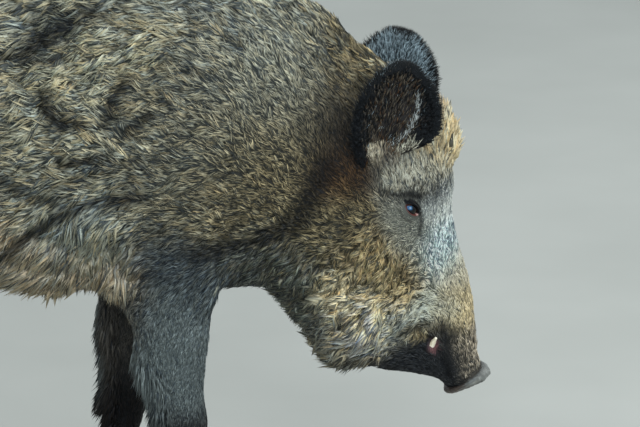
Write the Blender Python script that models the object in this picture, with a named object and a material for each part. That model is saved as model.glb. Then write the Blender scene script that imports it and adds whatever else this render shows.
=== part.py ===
"""Wild boar, adult, standing square with its head hung low: a life-size still model.

Frame: +X forward, +Y the animal's left, +Z up, metres. The floor is Z = 0, and the origin
is on it under the middle of the animal's box.

The body is one lofted mesh. Each rib of the loft joins a point of the back line to a point
of the belly line and says how wide the body is a little below the back, half way down and
a little above the belly. The outline runs out to the tips of the coat. The legs are lofted
the same way, from their front line to their back line. All are fused, then parted with thin
cuts into head, neck, trunk and legs. Ears, snout, eyes, tusks, tail and claws are seated on
the fused body with the same thin gap.
"""

import math

import bmesh
import bpy
import numpy as np
from mathutils import Matrix, Vector
from mathutils.bvhtree import BVHTree

# Overall sizes. Lengths along X are first laid out from the right foreleg, at X = 0.
GAP = 0.0003  # clearance between neighbouring solids
KERF = 0.0005  # thickness of the thin cuts that part the body
VOXEL = 0.006  # grain of the fused body before it is thinned out
BODY_TRIANGLES = 3150
RING = 40  # points round each rib
RIB_STEPS = 4  # ribs made between two given ones

# Back line, belly line and half widths of the body, from the rump to the nose.
# x and z of the back point, x and z of the belly point, half width high, middle and low.
BODY_RIBS = {
    "buttock_end": (-0.804, 0.630, -0.812, 0.560, 0.020, 0.030, 0.020),
    "buttock": (-0.790, 0.690, -0.806, 0.500, 0.060, 0.086, 0.062),
    "tail_root": (-0.744, 0.754, -0.766, 0.446, 0.094, 0.136, 0.098),
    "croup": (-0.655, 0.800, -0.668, 0.430, 0.112, 0.160, 0.112),
    "loin": (-0.520, 0.832, -0.522, 0.420, 0.116, 0.170, 0.124),
    "flank": (-0.380, 0.852, -0.372, 0.390, 0.116, 0.182, 0.140),
    "belly": (-0.240, 0.868, -0.232, 0.372, 0.112, 0.186, 0.144),
    "girth": (-0.110, 0.882, -0.100, 0.372, 0.104, 0.178, 0.140),
    "withers": (0.000, 0.883, 0.012, 0.374, 0.094, 0.168, 0.130),
    "shoulder": (0.092, 0.850, 0.074, 0.376, 0.088, 0.158, 0.118),
    "neck_base": (0.160, 0.794, 0.100, 0.374, 0.082, 0.149, 0.106),
    "neck": (0.220, 0.737, 0.122, 0.352, 0.077, 0.142, 0.100),
    "nape": (0.278, 0.692, 0.144, 0.324, 0.074, 0.134, 0.096),
    "poll": (0.330, 0.662, 0.164, 0.300, 0.068, 0.128, 0.098),
    "forehead": (0.364, 0.618, 0.181, 0.280, 0.056, 0.110, 0.098),
    "brow": (0.369, 0.560, 0.200, 0.268, 0.048, 0.092, 0.090),
    "stop": (0.358, 0.500, 0.228, 0.265, 0.041, 0.076, 0.078),
    "cheek": (0.364, 0.450, 0.256, 0.262, 0.037, 0.063, 0.064),
    "bridge": (0.381, 0.396, 0.286, 0.258, 0.037, 0.053, 0.050),
    "muzzle": (0.390, 0.346, 0.312, 0.252, 0.033, 0.046, 0.040),
    "lips": (0.392, 0.306, 0.335, 0.247, 0.030, 0.041, 0.034),
    "nose_base": (0.393, 0.276, 0.350, 0.246, 0.028, 0.038, 0.029),
}

# Legs: x and z of the front point, x and z of the back point, y of the middle, half width.
FORELEG_RIBS = {
    "shoulder_blade": (0.062, 0.640, -0.110, 0.660, 0.090, 0.036),
    "shoulder": (0.084, 0.560, -0.126, 0.590, 0.098, 0.050),
    "upper_arm": (0.084, 0.490, -0.132, 0.520, 0.099, 0.052),
    "elbow": (0.061, 0.424, -0.124, 0.446, 0.098, 0.052),
    "forearm": (0.041, 0.370, -0.099, 0.380, 0.095, 0.047),
    "mid_forearm": (0.031, 0.310, -0.071, 0.314, 0.092, 0.039),
    "above_knee": (0.026, 0.250, -0.048, 0.250, 0.088, 0.032),
    "knee": (0.031, 0.205, -0.041, 0.205, 0.087, 0.034),
    "cannon_top": (0.022, 0.155, -0.031, 0.155, 0.086, 0.027),
    "cannon": (0.020, 0.108, -0.030, 0.105, 0.085, 0.026),
    "fetlock": (0.030, 0.078, -0.038, 0.070, 0.085, 0.032),
    "pastern": (0.040, 0.052, -0.026, 0.040, 0.085, 0.030),
    "toe": (0.043, 0.034, -0.010, 0.026, 0.085, 0.020),
}
HINDLEG_RIBS = {
    "hip": (-0.500, 0.690, -0.765, 0.690, 0.078, 0.046),
    "haunch": (-0.476, 0.590, -0.804, 0.620, 0.090, 0.064),
    "thigh": (-0.462, 0.500, -0.818, 0.545, 0.096, 0.070),
    "stifle": (-0.480, 0.420, -0.806, 0.460, 0.101, 0.067),
    "gaskin": (-0.552, 0.345, -0.782, 0.385, 0.104, 0.052),
    "above_hock": (-0.632, 0.288, -0.768, 0.322, 0.104, 0.038),
    "hock": (-0.674, 0.232, -0.768, 0.262, 0.101, 0.032),
    "below_hock": (-0.684, 0.184, -0.748, 0.192, 0.099, 0.027),
    "cannon": (-0.680, 0.124, -0.732, 0.122, 0.098, 0.025),
    "fetlock": (-0.668, 0.082, -0.736, 0.072, 0.098, 0.032),
    "pastern": (-0.655, 0.052, -0.718, 0.040, 0.098, 0.030),
    "toe": (-0.650, 0.034, -0.702, 0.026, 0.098, 0.020),
}
# How far each foot stands ahead of (or behind) its plain place, as a walking animal pauses.
STRIDE = {"fore_right": 0.0, "fore_left": -0.118, "hind_right": -0.045, "hind_left": 0.055}
SWING_HEIGHT = 0.62  # a leg swings about its top, at this height

TAIL_RIBS = {
    "root": (-0.740, 0.680, -0.764, 0.722, 0.0, 0.021),
    "dock": (-0.798, 0.660, -0.826, 0.684, 0.0, 0.018),
    "bend": (-0.820, 0.600, -0.848, 0.602, 0.0, 0.014),
    "switch": (-0.823, 0.500, -0.846, 0.500, 0.0, 0.012),
    "tassel": (-0.819, 0.440, -0.850, 0.438, 0.0, 0.017),
    "tassel_low": (-0.822, 0.385, -0.846, 0.383, 0.0, 0.013),
    "tip": (-0.830, 0.345, -0.836, 0.344, 0.0, 0.003),
}

# A main claw, from heel to toe, about the middle of the foot. It is cut flat at the floor.
CLAW_RIBS = {
    "heel": (-0.040, 0.022, -0.040, 0.000, 0.0, 0.007),
    "bulb": (-0.031, 0.036, -0.033, -0.006, 0.0, 0.0135),
    "wall": (-0.008, 0.047, -0.010, -0.006, 0.0, 0.0155),
    "quarter": (0.014, 0.037, 0.012, -0.006, 0.0, 0.0145),
    "toe": (0.029, 0.018, 0.028, -0.006, 0.0, 0.0100),
    "point": (0.036, 0.006, 0.035, -0.003, 0.0, 0.003),
}
CLAW_SPREAD = 0.0172  # from the middle of the foot to the middle of a claw
DEWCLAW_RIBS = {
    "root": (-0.010, 0.082, -0.022, 0.074, 0.0, 0.008),
    "wall": (-0.024, 0.064, -0.040, 0.056, 0.0, 0.009),
    "horn": (-0.034, 0.046, -0.046, 0.040, 0.0, 0.0065),
    "point": (-0.044, 0.031, -0.047, 0.029, 0.0, 0.0020),
}
DEWCLAW_SPREAD = 0.022
FORE_FOOT_X = 0.022
HIND_FOOT_X = -0.672

# Face.
EYE_PLACE = (0.3012, 0.5108)  # x, z
EYE_RADIUS = 0.0115
EYE_STANDS_OUT = 0.0035
LIP_LINE = ((0.351, 0.258), (0.343, 0.286), (0.330, 0.314), (0.312, 0.340))  # x, z
LIP_GROOVE = 0.0022
TUSK_PLACE = (0.3305, 0.3135)  # x, z, where it leaves the lip
TUSK_AIM = Vector((0.34, 0.58, 0.74))
TUSK_LENGTH = 0.0170
TUSK_RADIUS = 0.0050

# The nose disc: its middle, the way it faces, and its half sizes.
SNOUT_CENTRE = Vector((0.382, 0.0, 0.238))
SNOUT_FACES = Vector((0.53, 0.0, -0.848))
SNOUT_HALF_HEIGHT = 0.034
SNOUT_HALF_WIDTH = 0.042
SNOUT_DEPTH = 0.034
SNOUT_SWEEP = 0.007  # how far the sides of the disc lie behind its middle
NOSTRIL_OFFSET = 0.0165
NOSTRIL_RADII = (0.0062, 0.0085, 0.011)

# Ears: the root, the way the ear points, the way its back edge lies and its sizes.
EAR_ROOT = Vector((0.256, 0.078, 0.572))
EAR_ALONG = Vector((0.29, 0.20, 0.94))
EAR_OPENS = Vector((0.22, 0.95, -0.20))
EAR_LENGTH = 0.146
EAR_HALF_WIDTH = 0.074
EAR_THICKNESS = 0.0075

# Coat and skin colours, linear.
COLOURS = {
    "coat": ((0.145, 0.118, 0.085), 0.85),
    "coat_head": ((0.185, 0.155, 0.110), 0.85),
    "coat_leg": ((0.030, 0.027, 0.025), 0.80),
    "snout_skin": ((0.120, 0.105, 0.098), 0.55),
    "horn": ((0.030, 0.024, 0.020), 0.45),
    "ivory": ((0.620, 0.540, 0.400), 0.35),
    "eye": ((0.020, 0.012, 0.008), 0.10),
}

# The cuts that part the body: the middle of the cut, the way it faces, the way its length
# runs, its half length and its half breadth.
CUTS = {
    "head": ((0.222, 0.0, 0.520), (0.942, 0.0, -0.337), (0.0, 1.0, 0.0), 0.30, 0.30),
    "neck": ((0.118, 0.0, 0.620), (0.999, 0.0, -0.050), (0.0, 1.0, 0.0), 0.30, 0.34),
    "haunch": ((-0.640, 0.0, 0.487), (0.465, 0.0, 0.885), (0.0, 1.0, 0.0), 0.30, 0.250),
    "groin": ((-0.695, 0.0, 0.382), (0.0, 1.0, 0.0), (0.885, 0.0, -0.465), 0.250, 0.1195),
}
ELBOW_CUT = ((-0.040, 0.105, 0.400), (0.0, -0.482, 0.876), (1.0, 0.0, 0.0), 0.140, 0.097)
KNEE_HEIGHT = 0.208
HOCK_HEIGHT = 0.238
SHANK_CUT = 0.075  # half size of the cut through a knee or hock

# A point inside each piece of the parted body, which tells the pieces apart.
PIECES = {
    "head": (0.300, 0.0, 0.450),
    "neck": (0.180, 0.0, 0.580),
    "trunk": (-0.330, 0.0, 0.630),
    "foreleg_upper": (0.0, 0.097, 0.320),
    "foreleg_lower": (0.0, 0.086, 0.100),
    "hindleg_upper": (-0.680, 0.100, 0.400),
    "hindleg_lower": (-0.700, 0.098, 0.120),
}


def clear_scene():
    """Remove whatever the scene holds."""
    for obj in list(bpy.data.objects):
        bpy.data.objects.remove(obj)


def make_materials():
    """One Principled material for each finish."""
    made = {}
    for name, (colour, roughness) in COLOURS.items():
        material = bpy.data.materials.new(name)
        material.use_nodes = True
        shader = material.node_tree.nodes["Principled BSDF"]
        shader.inputs["Base Color"].default_value = (*colour, 1.0)
        shader.inputs["Roughness"].default_value = roughness
        shader.inputs["Metallic"].default_value = 0.0
        made[name] = material
    return made


def add_object(name, mesh_maker):
    """A linked object with the mesh that mesh_maker writes into a bmesh, in triangles."""
    shape = bmesh.new()
    mesh_maker(shape)
    bmesh.ops.triangulate(shape, faces=shape.faces)
    bmesh.ops.recalc_face_normals(shape, faces=shape.faces)
    mesh = bpy.data.meshes.new(name)
    shape.to_mesh(mesh)
    shape.free()
    obj = bpy.data.objects.new(name, mesh)
    bpy.context.scene.collection.objects.link(obj)
    return obj


def settle(obj):
    """Apply the object's modifiers to its mesh."""
    bpy.context.view_layer.update()
    graph = bpy.context.evaluated_depsgraph_get()
    mesh = bpy.data.meshes.new_from_object(obj.evaluated_get(graph))
    obj.modifiers.clear()
    obj.data = mesh


def remove(obj):
    """Delete a helper object."""
    bpy.data.objects.remove(obj)


def combine(obj, other, operation):
    """Boolean obj with other, and apply it."""
    boolean = obj.modifiers.new("combine", "BOOLEAN")
    boolean.operation = operation
    boolean.object = other
    boolean.solver = "EXACT"
    settle(obj)


def between(rows, steps):
    """The rows with steps - 1 more between each two, on a smooth curve through them all."""
    given = np.array(rows, float)
    ends = np.vstack([2 * given[0] - given[1], given, 2 * given[-1] - given[-2]])
    made = []
    for a, b, c, d in zip(ends[:-3], ends[1:-2], ends[2:-1], ends[3:]):
        for step in range(steps):
            t = step / steps
            bend = (2 * a - 5 * b + 4 * c - d) * t**2 + (3 * b - a - 3 * c + d) * t**3
            made.append(b + 0.5 * ((c - a) * t + bend))
    made.append(given[-1])
    return made


def half_width(turn, high, middle, low):
    """Half width of a rib at a turn from its back point (0) to its belly point (pi).

    It passes through the three given half widths, at 0.15, 0.5 and 0.85 of the way down.
    """
    places = [math.acos(0.7), math.pi / 2, math.pi - math.acos(0.7)]
    swells = [w / math.sin(p) for w, p in zip((high, middle, low), places)]
    total = 0.0
    for i, place in enumerate(places):
        share = swells[i]
        for other in places[:i] + places[i + 1 :]:
            share *= (turn - other) / (place - other)
        total += share
    return total * math.sin(turn)


def loft(shape, ribs, steps=RIB_STEPS, ring=RING):
    """A closed loft through ribs of (x, z, x, z, y, high, middle, low)."""
    rings = []
    for x0, z0, x1, z1, y, high, middle, low in between(ribs, steps):
        points = []
        for k in range(ring):
            turn = 2 * math.pi * k / ring
            side = 1 if turn <= math.pi else -1
            turn = min(turn, 2 * math.pi - turn)
            down = (1 - math.cos(turn)) / 2
            out = side * half_width(turn, high, middle, low)
            place = (x0 + (x1 - x0) * down, y + out, z0 + (z1 - z0) * down)
            points.append(shape.verts.new(place))
        rings.append(points)
    for one, two in zip(rings, rings[1:]):
        for k in range(ring):
            nxt = (k + 1) % ring
            shape.faces.new((one[k], one[nxt], two[nxt], two[k]))
    shape.faces.new(rings[0])
    shape.faces.new(rings[-1][::-1])


def body_rows():
    """The body's ribs, on the middle plane."""
    return [(*rib[:4], 0.0, *rib[4:]) for rib in BODY_RIBS.values()]


def round_rows(ribs, side=1, stride=0.0):
    """Ribs of a round limb. It swings by stride at the floor and not at its top."""
    rows = []
    for x0, z0, x1, z1, y, half in ribs.values():
        swing_0 = stride * max(0.0, 1 - z0 / SWING_HEIGHT)
        swing_1 = stride * max(0.0, 1 - z1 / SWING_HEIGHT)
        shoulder = half * math.sin(math.acos(0.7))
        rows.append((x0 + swing_0, z0, x1 + swing_1, z1, side * y, shoulder, half, shoulder))
    return rows


def leg_places():
    """Each leg's name with its ribs, its side and its stride."""
    for end, ribs in (("fore", FORELEG_RIBS), ("hind", HINDLEG_RIBS)):
        for hand, side in (("left", 1), ("right", -1)):
            yield end, hand, ribs, side, STRIDE[f"{end}_{hand}"]


def fused_body():
    """Trunk, neck, head and legs as one smooth closed mesh."""

    def all_lofts(shape):
        loft(shape, body_rows())
        for _, _, ribs, side, stride in leg_places():
            loft(shape, round_rows(ribs, side, stride), ring=24)

    body = add_object("body", all_lofts)
    remesh = body.modifiers.new("fuse", "REMESH")
    remesh.mode = "VOXEL"
    remesh.voxel_size = VOXEL
    smooth = body.modifiers.new("smooth", "SMOOTH")
    smooth.factor = 0.5
    smooth.iterations = 12
    settle(body)
    return body


def thin_out(body):
    """Cut the triangles down to the budget. Most stay where the body bends most."""
    decimate = body.modifiers.new("thin", "DECIMATE")
    decimate.ratio = BODY_TRIANGLES / (2 * len(body.data.polygons))
    body.modifiers.new("triangles", "TRIANGULATE")
    settle(body)


def ball(shape, centre, radii, turn=None, segments=14, rings=8):
    """An ellipsoid with its pole along Z before it is turned."""
    spin = turn.to_matrix().to_4x4() if turn else Matrix.Identity(4)
    place = Matrix.Translation(centre) @ spin @ Matrix.Diagonal((*radii, 1.0))
    bmesh.ops.create_uvsphere(
        shape, u_segments=segments, v_segments=rings, radius=1.0, matrix=place
    )


def helper(obj):
    """Mark a cutter, which isn't a piece of the animal."""
    obj.hide_render = True
    obj.display_type = "WIRE"
    return obj


def surface_tree(body):
    """The body's surface, to find places on it."""
    shape = bmesh.new()
    shape.from_mesh(body.data)
    tree = BVHTree.FromBMesh(shape)
    shape.free()
    return tree


def surface_point(tree, x, z, side, outwards=0.0):
    """The place on the head that is at x, z in side view, moved outwards by a distance."""
    hit, normal, _, _ = tree.ray_cast(Vector((x, 0.3, z)), Vector((0, -1, 0)))
    if hit is None:
        hit, normal, _, _ = tree.find_nearest(Vector((x, 0.06, z)))
    return (hit + normal * outwards) * Vector((1, side, 1))


def carve_eye_sockets(body, tree):
    """Hollow a round socket for each eyeball."""
    for side in (1, -1):
        centre = surface_point(tree, *EYE_PLACE, side, EYE_STANDS_OUT - EYE_RADIUS)
        radius = EYE_RADIUS + GAP

        def socket(shape, centre=centre, radius=radius):
            ball(shape, centre, (radius, radius, radius))

        cutter = helper(add_object("socket", socket))
        combine(body, cutter, "DIFFERENCE")
        remove(cutter)


def carve_mouth(body, tree):
    """A shallow round groove along each lip, from below the nose to the mouth's corner."""
    for side in (1, -1):
        line = [surface_point(tree, x, z, side) for x, z in between(LIP_LINE, 4)]
        curve = bpy.data.curves.new("lip", "CURVE")
        curve.dimensions = "3D"
        curve.bevel_depth = LIP_GROOVE
        curve.bevel_resolution = 1
        curve.use_fill_caps = True
        run = curve.splines.new("POLY")
        run.points.add(len(line) - 1)
        for point, place in zip(run.points, line):
            point.co = (*place, 1.0)
        tube = helper(bpy.data.objects.new("lip", curve))
        bpy.context.scene.collection.objects.link(tube)
        bpy.context.view_layer.update()
        graph = bpy.context.evaluated_depsgraph_get()
        mesh = bpy.data.meshes.new_from_object(tube.evaluated_get(graph))
        groove = helper(bpy.data.objects.new("groove", mesh))
        bpy.context.scene.collection.objects.link(groove)
        weld = groove.modifiers.new("weld", "WELD")
        weld.merge_threshold = 0.00001
        settle(groove)
        combine(body, groove, "DIFFERENCE")
        remove(tube)
        remove(groove)


def inflated(body):
    """A copy of the body that stands proud of it by the gap, to cut what is seated on it."""

    def grow(shape):
        shape.from_mesh(body.data)
        shape.normal_update()
        steps = [v.normal * v.calc_shell_factor() * 1.5 * GAP for v in shape.verts]
        for vertex, step in zip(shape.verts, steps):
            vertex.co += step

    return helper(add_object("inflated", grow))


def drop_crumbs(obj):
    """Keep the largest of an object's loose shells."""
    shape = bmesh.new()
    shape.from_mesh(obj.data)
    left, shells = set(shape.verts), []
    while left:
        shell, todo = set(), [left.pop()]
        while todo:
            vertex = todo.pop()
            shell.add(vertex)
            for edge in vertex.link_edges:
                other = edge.other_vert(vertex)
                if other in left:
                    left.remove(other)
                    todo.append(other)
        shells.append(shell)
    keep = max(shells, key=len)
    bmesh.ops.delete(shape, geom=[v for s in shells if s is not keep for v in s], context="VERTS")
    shape.to_mesh(obj.data)
    shape.free()


def seat(obj, cutter):
    """Cut a piece back to the body's surface, less the gap."""
    combine(obj, cutter, "DIFFERENCE")
    drop_crumbs(obj)
    return obj


def make_snout():
    """The nose disc: a short flared collar with two nostrils in its face."""
    forward = SNOUT_FACES.normalized()
    up = Vector((forward.z * -1, 0.0, forward.x))  # from the disc's lower rim to its upper
    # Along the muzzle: how far behind the face, and the share of the disc's half sizes.
    profile = (
        (0.0015, 0.55),
        (0.0000, 0.82),
        (-0.0030, 0.97),
        (-0.0080, 1.00),
        (-0.0130, 0.95),
        (-0.0180, 0.88),
        (-SNOUT_DEPTH, 0.80),
    )

    def collar(shape):
        rings = []
        for back, share in profile:
            ring = []
            for k in range(22):
                turn = 2 * math.pi * k / 22
                # The upper rim is broad and the lower one narrower, a rounded triangle.
                broad = 1.0 + 0.10 * math.sin(turn)
                across = SNOUT_HALF_WIDTH * share * broad * math.cos(turn)
                rise = SNOUT_HALF_HEIGHT * share * math.sin(turn)
                # The upper rim stands forward, and the sides are swept back.
                lean = (0.004 * math.sin(turn) - SNOUT_SWEEP * math.cos(turn) ** 2) * share
                place = SNOUT_CENTRE + forward * (back + lean) + up * rise
                ring.append(shape.verts.new(place + Vector((0, across, 0))))
            rings.append(ring)
        for one, two in zip(rings, rings[1:]):
            for k in range(22):
                nxt = (k + 1) % 22
                shape.faces.new((one[k], one[nxt], two[nxt], two[k]))
        shape.faces.new(rings[0])
        shape.faces.new(rings[-1][::-1])

    snout = add_object("snout", collar)
    turn = forward.to_track_quat("Z", "Y")
    for side in (1, -1):
        centre = SNOUT_CENTRE + Vector((0, side * NOSTRIL_OFFSET, 0)) + forward * 0.002 + up * 0.003

        def nostril(shape, centre=centre):
            ball(shape, centre, NOSTRIL_RADII, turn, 12, 6)

        cutter = helper(add_object("nostril", nostril))
        combine(snout, cutter, "DIFFERENCE")
        remove(cutter)
    return snout


def make_ear(name, side):
    """A cupped leaf that opens outwards, thick enough to hold its coat."""
    along = EAR_ALONG.normalized()
    opens = (EAR_OPENS - along * EAR_OPENS.dot(along)).normalized()
    across = along.cross(opens)  # towards the front edge
    if across.x < 0:
        across = -across
    # Up the ear: share of the length, share of the half width, half angle of the cup.
    leaf = (
        (-0.10, 0.36, 1.70),
        (0.00, 0.58, 1.55),
        (0.14, 0.82, 1.32),
        (0.32, 0.98, 1.05),
        (0.50, 0.98, 0.86),
        (0.68, 0.90, 0.72),
        (0.84, 0.70, 0.58),
        (0.95, 0.42, 0.46),
        (1.00, 0.20, 0.38),
    )
    columns = 10

    def cup(shape):
        rows = []
        for up, share, angle in leaf:
            half = EAR_HALF_WIDTH * share
            radius = half / angle
            # The tip curls back a little.
            middle = EAR_ROOT + along * (EAR_LENGTH * up) - opens * (0.014 * up * up)
            row = []
            for k in range(columns + 1):
                turn = (2 * k / columns - 1) * angle
                place = middle + across * (radius * math.sin(turn))
                place += opens * (radius * (1 - math.cos(turn)))
                row.append(shape.verts.new((place.x, side * place.y, place.z)))
            rows.append(row)
        for one, two in zip(rows, rows[1:]):
            for k in range(columns):
                shape.faces.new((one[k], one[k + 1], two[k + 1], two[k]))

    ear = add_object(name, cup)
    solidify = ear.modifiers.new("thickness", "SOLIDIFY")
    solidify.thickness = EAR_THICKNESS
    solidify.offset = 0.0
    settle(ear)
    return ear


def make_eye(name, side, tree):
    """An eyeball, most of it in its socket."""
    centre = surface_point(tree, *EYE_PLACE, side, EYE_STANDS_OUT - EYE_RADIUS)
    radii = (EYE_RADIUS, EYE_RADIUS, EYE_RADIUS)
    return add_object(name, lambda shape: ball(shape, centre, radii, None, 14, 8))


def make_tusk(name, side, tree):
    """The tip of a lower tusk, where it shows at the lip."""
    aim = (TUSK_AIM * Vector((1, side, 1))).normalized()
    middle = surface_point(tree, *TUSK_PLACE, side) + aim * TUSK_LENGTH * 0.15
    turn = aim.to_track_quat("Z", "Y")

    def cone(shape):
        place = Matrix.Translation(middle) @ turn.to_matrix().to_4x4()
        bmesh.ops.create_cone(
            shape,
            cap_ends=True,
            segments=12,
            radius1=TUSK_RADIUS,
            radius2=TUSK_RADIUS * 0.35,
            depth=TUSK_LENGTH,
            matrix=place,
        )

    tusk = add_object(name, cone)
    bevel = tusk.modifiers.new("round", "BEVEL")
    bevel.width = 0.0008
    bevel.segments = 2
    settle(tusk)
    return tusk


def flatten_sole(shape):
    """Cut a claw flat at the floor."""
    cut = bmesh.ops.bisect_plane(
        shape,
        geom=shape.verts[:] + shape.edges[:] + shape.faces[:],
        plane_co=(0, 0, 0),
        plane_no=(0, 0, -1),
        clear_outer=True,
    )
    rim = [e for e in cut["geom_cut"] if isinstance(e, bmesh.types.BMEdge)]
    bmesh.ops.contextual_create(shape, geom=rim)


def make_claw(name, ribs, foot, out, spread, ring):
    """A claw of one foot, to the side that out (1 or -1) says, in or out from its middle."""

    def horn(shape):
        rows = [
            (x0 + foot.x, z0, x1 + foot.x, z1, foot.y + out * spread, *widths[5:])
            for (x0, z0, x1, z1, *_), widths in zip(ribs.values(), round_rows(ribs))
        ]
        loft(shape, rows, steps=1, ring=ring)
        flatten_sole(shape)

    return add_object(name, horn)


def kerf(name, middle, facing, runs, half_length, half_breadth):
    """A thin flat cutter that faces and runs the ways given."""
    facing = Vector(facing).normalized()
    runs = (Vector(runs) - facing * facing.dot(Vector(runs))).normalized()
    axes = Matrix((runs, facing.cross(runs), facing)).transposed().to_4x4()
    sizes = Matrix.Diagonal((2 * half_length, 2 * half_breadth, KERF, 1.0))
    place = Matrix.Translation(middle) @ axes @ sizes
    return helper(add_object(name, lambda s: bmesh.ops.create_cube(s, size=1.0, matrix=place)))


def part_body(body):
    """Part the fused body with thin cuts, and return its loose pieces."""
    cutters = [kerf(name, *cut) for name, cut in CUTS.items()]
    for end, hand, _, side, stride in leg_places():
        if end == "fore":
            (x, y, z), normal, runs, length, breadth = ELBOW_CUT
            place = (x + stride * (1 - z / SWING_HEIGHT), side * y, z)
            facing = (normal[0], side * normal[1], normal[2])
            cutters.append(kerf("elbow", place, facing, runs, length, breadth))
        height = KNEE_HEIGHT if end == "fore" else HOCK_HEIGHT
        x = (-0.004 if end == "fore" else -0.720) + stride * (1 - height / SWING_HEIGHT)
        y = side * (0.087 if end == "fore" else 0.101)
        level = ((0, 0, 1), (1, 0, 0))
        cutters.append(kerf("shank", (x, y, height), *level, SHANK_CUT, SHANK_CUT))
    for cutter in cutters:
        combine(body, cutter, "DIFFERENCE")
        remove(cutter)
    bpy.ops.object.select_all(action="DESELECT")
    body.select_set(True)
    bpy.context.view_layer.objects.active = body
    bpy.ops.mesh.separate(type="LOOSE")
    return list(bpy.context.selected_objects)


def piece_names():
    """Each piece's name and a point inside it, with the legs on both sides."""
    for name, (x, y, z) in PIECES.items():
        if y == 0.0:
            yield name, Vector((x, y, z))
            continue
        end = "fore" if name.startswith("fore") else "hind"
        for hand, side in (("left", 1), ("right", -1)):
            swing = STRIDE[f"{end}_{hand}"] * (1 - z / SWING_HEIGHT)
            yield f"{name}_{hand}", Vector((x + swing, side * y, z))


def name_pieces(pieces):
    """Name each loose piece by the nearest known place. Every place takes one piece."""
    named = {}
    places = dict(piece_names())
    for piece in pieces:
        corners = [Vector(c) for c in piece.bound_box]
        middle = sum(corners, Vector()) / len(corners)
        name = min(places, key=lambda n: (places[n] - middle).length)
        if name in named:
            raise ValueError(f"two pieces are nearest to {name}")
        piece.name = name
        named[name] = piece
    missing = set(places) - set(named)
    if missing:
        raise ValueError(f"no piece for {sorted(missing)}")
    return named


def finish(obj, material, angle=50.0):
    """Give a piece its material and smooth shading."""
    obj.data.materials.clear()
    obj.data.materials.append(material)
    obj.data.shade_smooth()
    obj.data.set_sharp_from_angle(angle=math.radians(angle))


def stand_on_origin(objects):
    """Move every piece so that the origin is on the floor under the middle of the box."""
    low, high = Vector((9, 9, 9)), Vector((-9, -9, -9))
    for obj in objects:
        for vertex in obj.data.vertices:
            low = Vector(map(min, low, vertex.co))
            high = Vector(map(max, high, vertex.co))
    shift = Vector((-(low.x + high.x) / 2, -(low.y + high.y) / 2, -low.z))
    for obj in objects:
        obj.data.transform(Matrix.Translation(shift))


def main():
    """Build the boar."""
    clear_scene()
    materials = make_materials()
    body = fused_body()
    thin_out(body)
    proud = inflated(body)
    tree = surface_tree(body)
    carve_eye_sockets(body, tree)
    carve_mouth(body, tree)

    made = []

    def keep(obj, finish_name, angle=50.0):
        finish(obj, materials[finish_name], angle)
        made.append(obj)

    keep(seat(make_snout(), proud), "snout_skin", 40.0)
    for hand, side in (("left", 1), ("right", -1)):
        keep(seat(make_ear(f"ear_{hand}", side), proud), "coat_leg", 60.0)
        keep(seat(make_tusk(f"tusk_{hand}", side, tree), proud), "ivory")
        keep(make_eye(f"eye_{hand}", side, tree), "eye")
    tail = add_object("tail", lambda s: loft(s, round_rows(TAIL_RIBS), steps=2, ring=8))
    keep(seat(tail, proud), "coat_leg")

    for end, hand, _, side, stride in leg_places():
        x = FORE_FOOT_X if end == "fore" else HIND_FOOT_X
        y = side * (FORELEG_RIBS if end == "fore" else HINDLEG_RIBS)["toe"][4]
        foot = Vector((x + stride, y, 0.0))
        for where, out in (("inner", -side), ("outer", side)):
            label = f"{end}_{hand}_{where}"
            claw = make_claw(f"claw_{label}", CLAW_RIBS, foot, out, CLAW_SPREAD, 10)
            keep(seat(claw, proud), "horn")
            dew = make_claw(f"dewclaw_{label}", DEWCLAW_RIBS, foot, out, DEWCLAW_SPREAD, 6)
            keep(seat(dew, proud), "horn")
    remove(proud)

    for name, piece in name_pieces(part_body(body)).items():
        coat = "coat_leg" if "leg" in name else "coat_head" if name == "head" else "coat"
        keep(piece, coat)
    stand_on_origin(made)


main()
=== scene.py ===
"""Wild boar in winter coat: skin, tufted coat, eyes, snout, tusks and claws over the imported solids.

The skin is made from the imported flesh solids, whose outline runs to the tips of the coat. It is
set in by the coat's depth, and the coat is built back over it in tufts. One chart of patches of
the body says everywhere how the hair lies, how long and how lifted it is, and its tones.
"""

from __future__ import annotations

import logging
import math
from contextlib import contextmanager
from dataclasses import dataclass, field, fields
from enum import Enum, IntEnum
from itertools import product
from typing import Any, Iterator, Sequence

import bmesh
import bpy
import numpy as np
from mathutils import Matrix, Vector
from mathutils.bvhtree import BVHTree
from mathutils.kdtree import KDTree

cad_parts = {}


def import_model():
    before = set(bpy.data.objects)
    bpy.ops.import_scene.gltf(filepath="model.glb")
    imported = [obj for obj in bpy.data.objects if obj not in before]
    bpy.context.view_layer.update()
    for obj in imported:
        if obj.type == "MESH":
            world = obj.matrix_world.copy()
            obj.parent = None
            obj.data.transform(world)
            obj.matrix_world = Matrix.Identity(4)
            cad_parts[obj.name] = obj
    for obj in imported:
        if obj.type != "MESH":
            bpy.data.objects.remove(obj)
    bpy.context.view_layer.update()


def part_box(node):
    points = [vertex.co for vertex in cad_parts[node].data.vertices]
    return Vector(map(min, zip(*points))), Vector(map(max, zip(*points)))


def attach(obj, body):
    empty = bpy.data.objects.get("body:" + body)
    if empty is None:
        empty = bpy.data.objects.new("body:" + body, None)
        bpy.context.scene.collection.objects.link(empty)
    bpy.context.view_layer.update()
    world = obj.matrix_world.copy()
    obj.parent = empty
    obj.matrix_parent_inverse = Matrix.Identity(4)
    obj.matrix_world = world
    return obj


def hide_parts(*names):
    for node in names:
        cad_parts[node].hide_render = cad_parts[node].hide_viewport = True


LOG = logging.getLogger("boar")
MM = 0.001
ROOT_BODY = "root"
SIDES = (("left", 1), ("right", -1))
FOREFOOT_MIDDLE = 0.018  # from the back of the right forefoot's outer claw
TUFTS, TUFTS_IN_A_TRIAL = 329000, 110000
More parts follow.
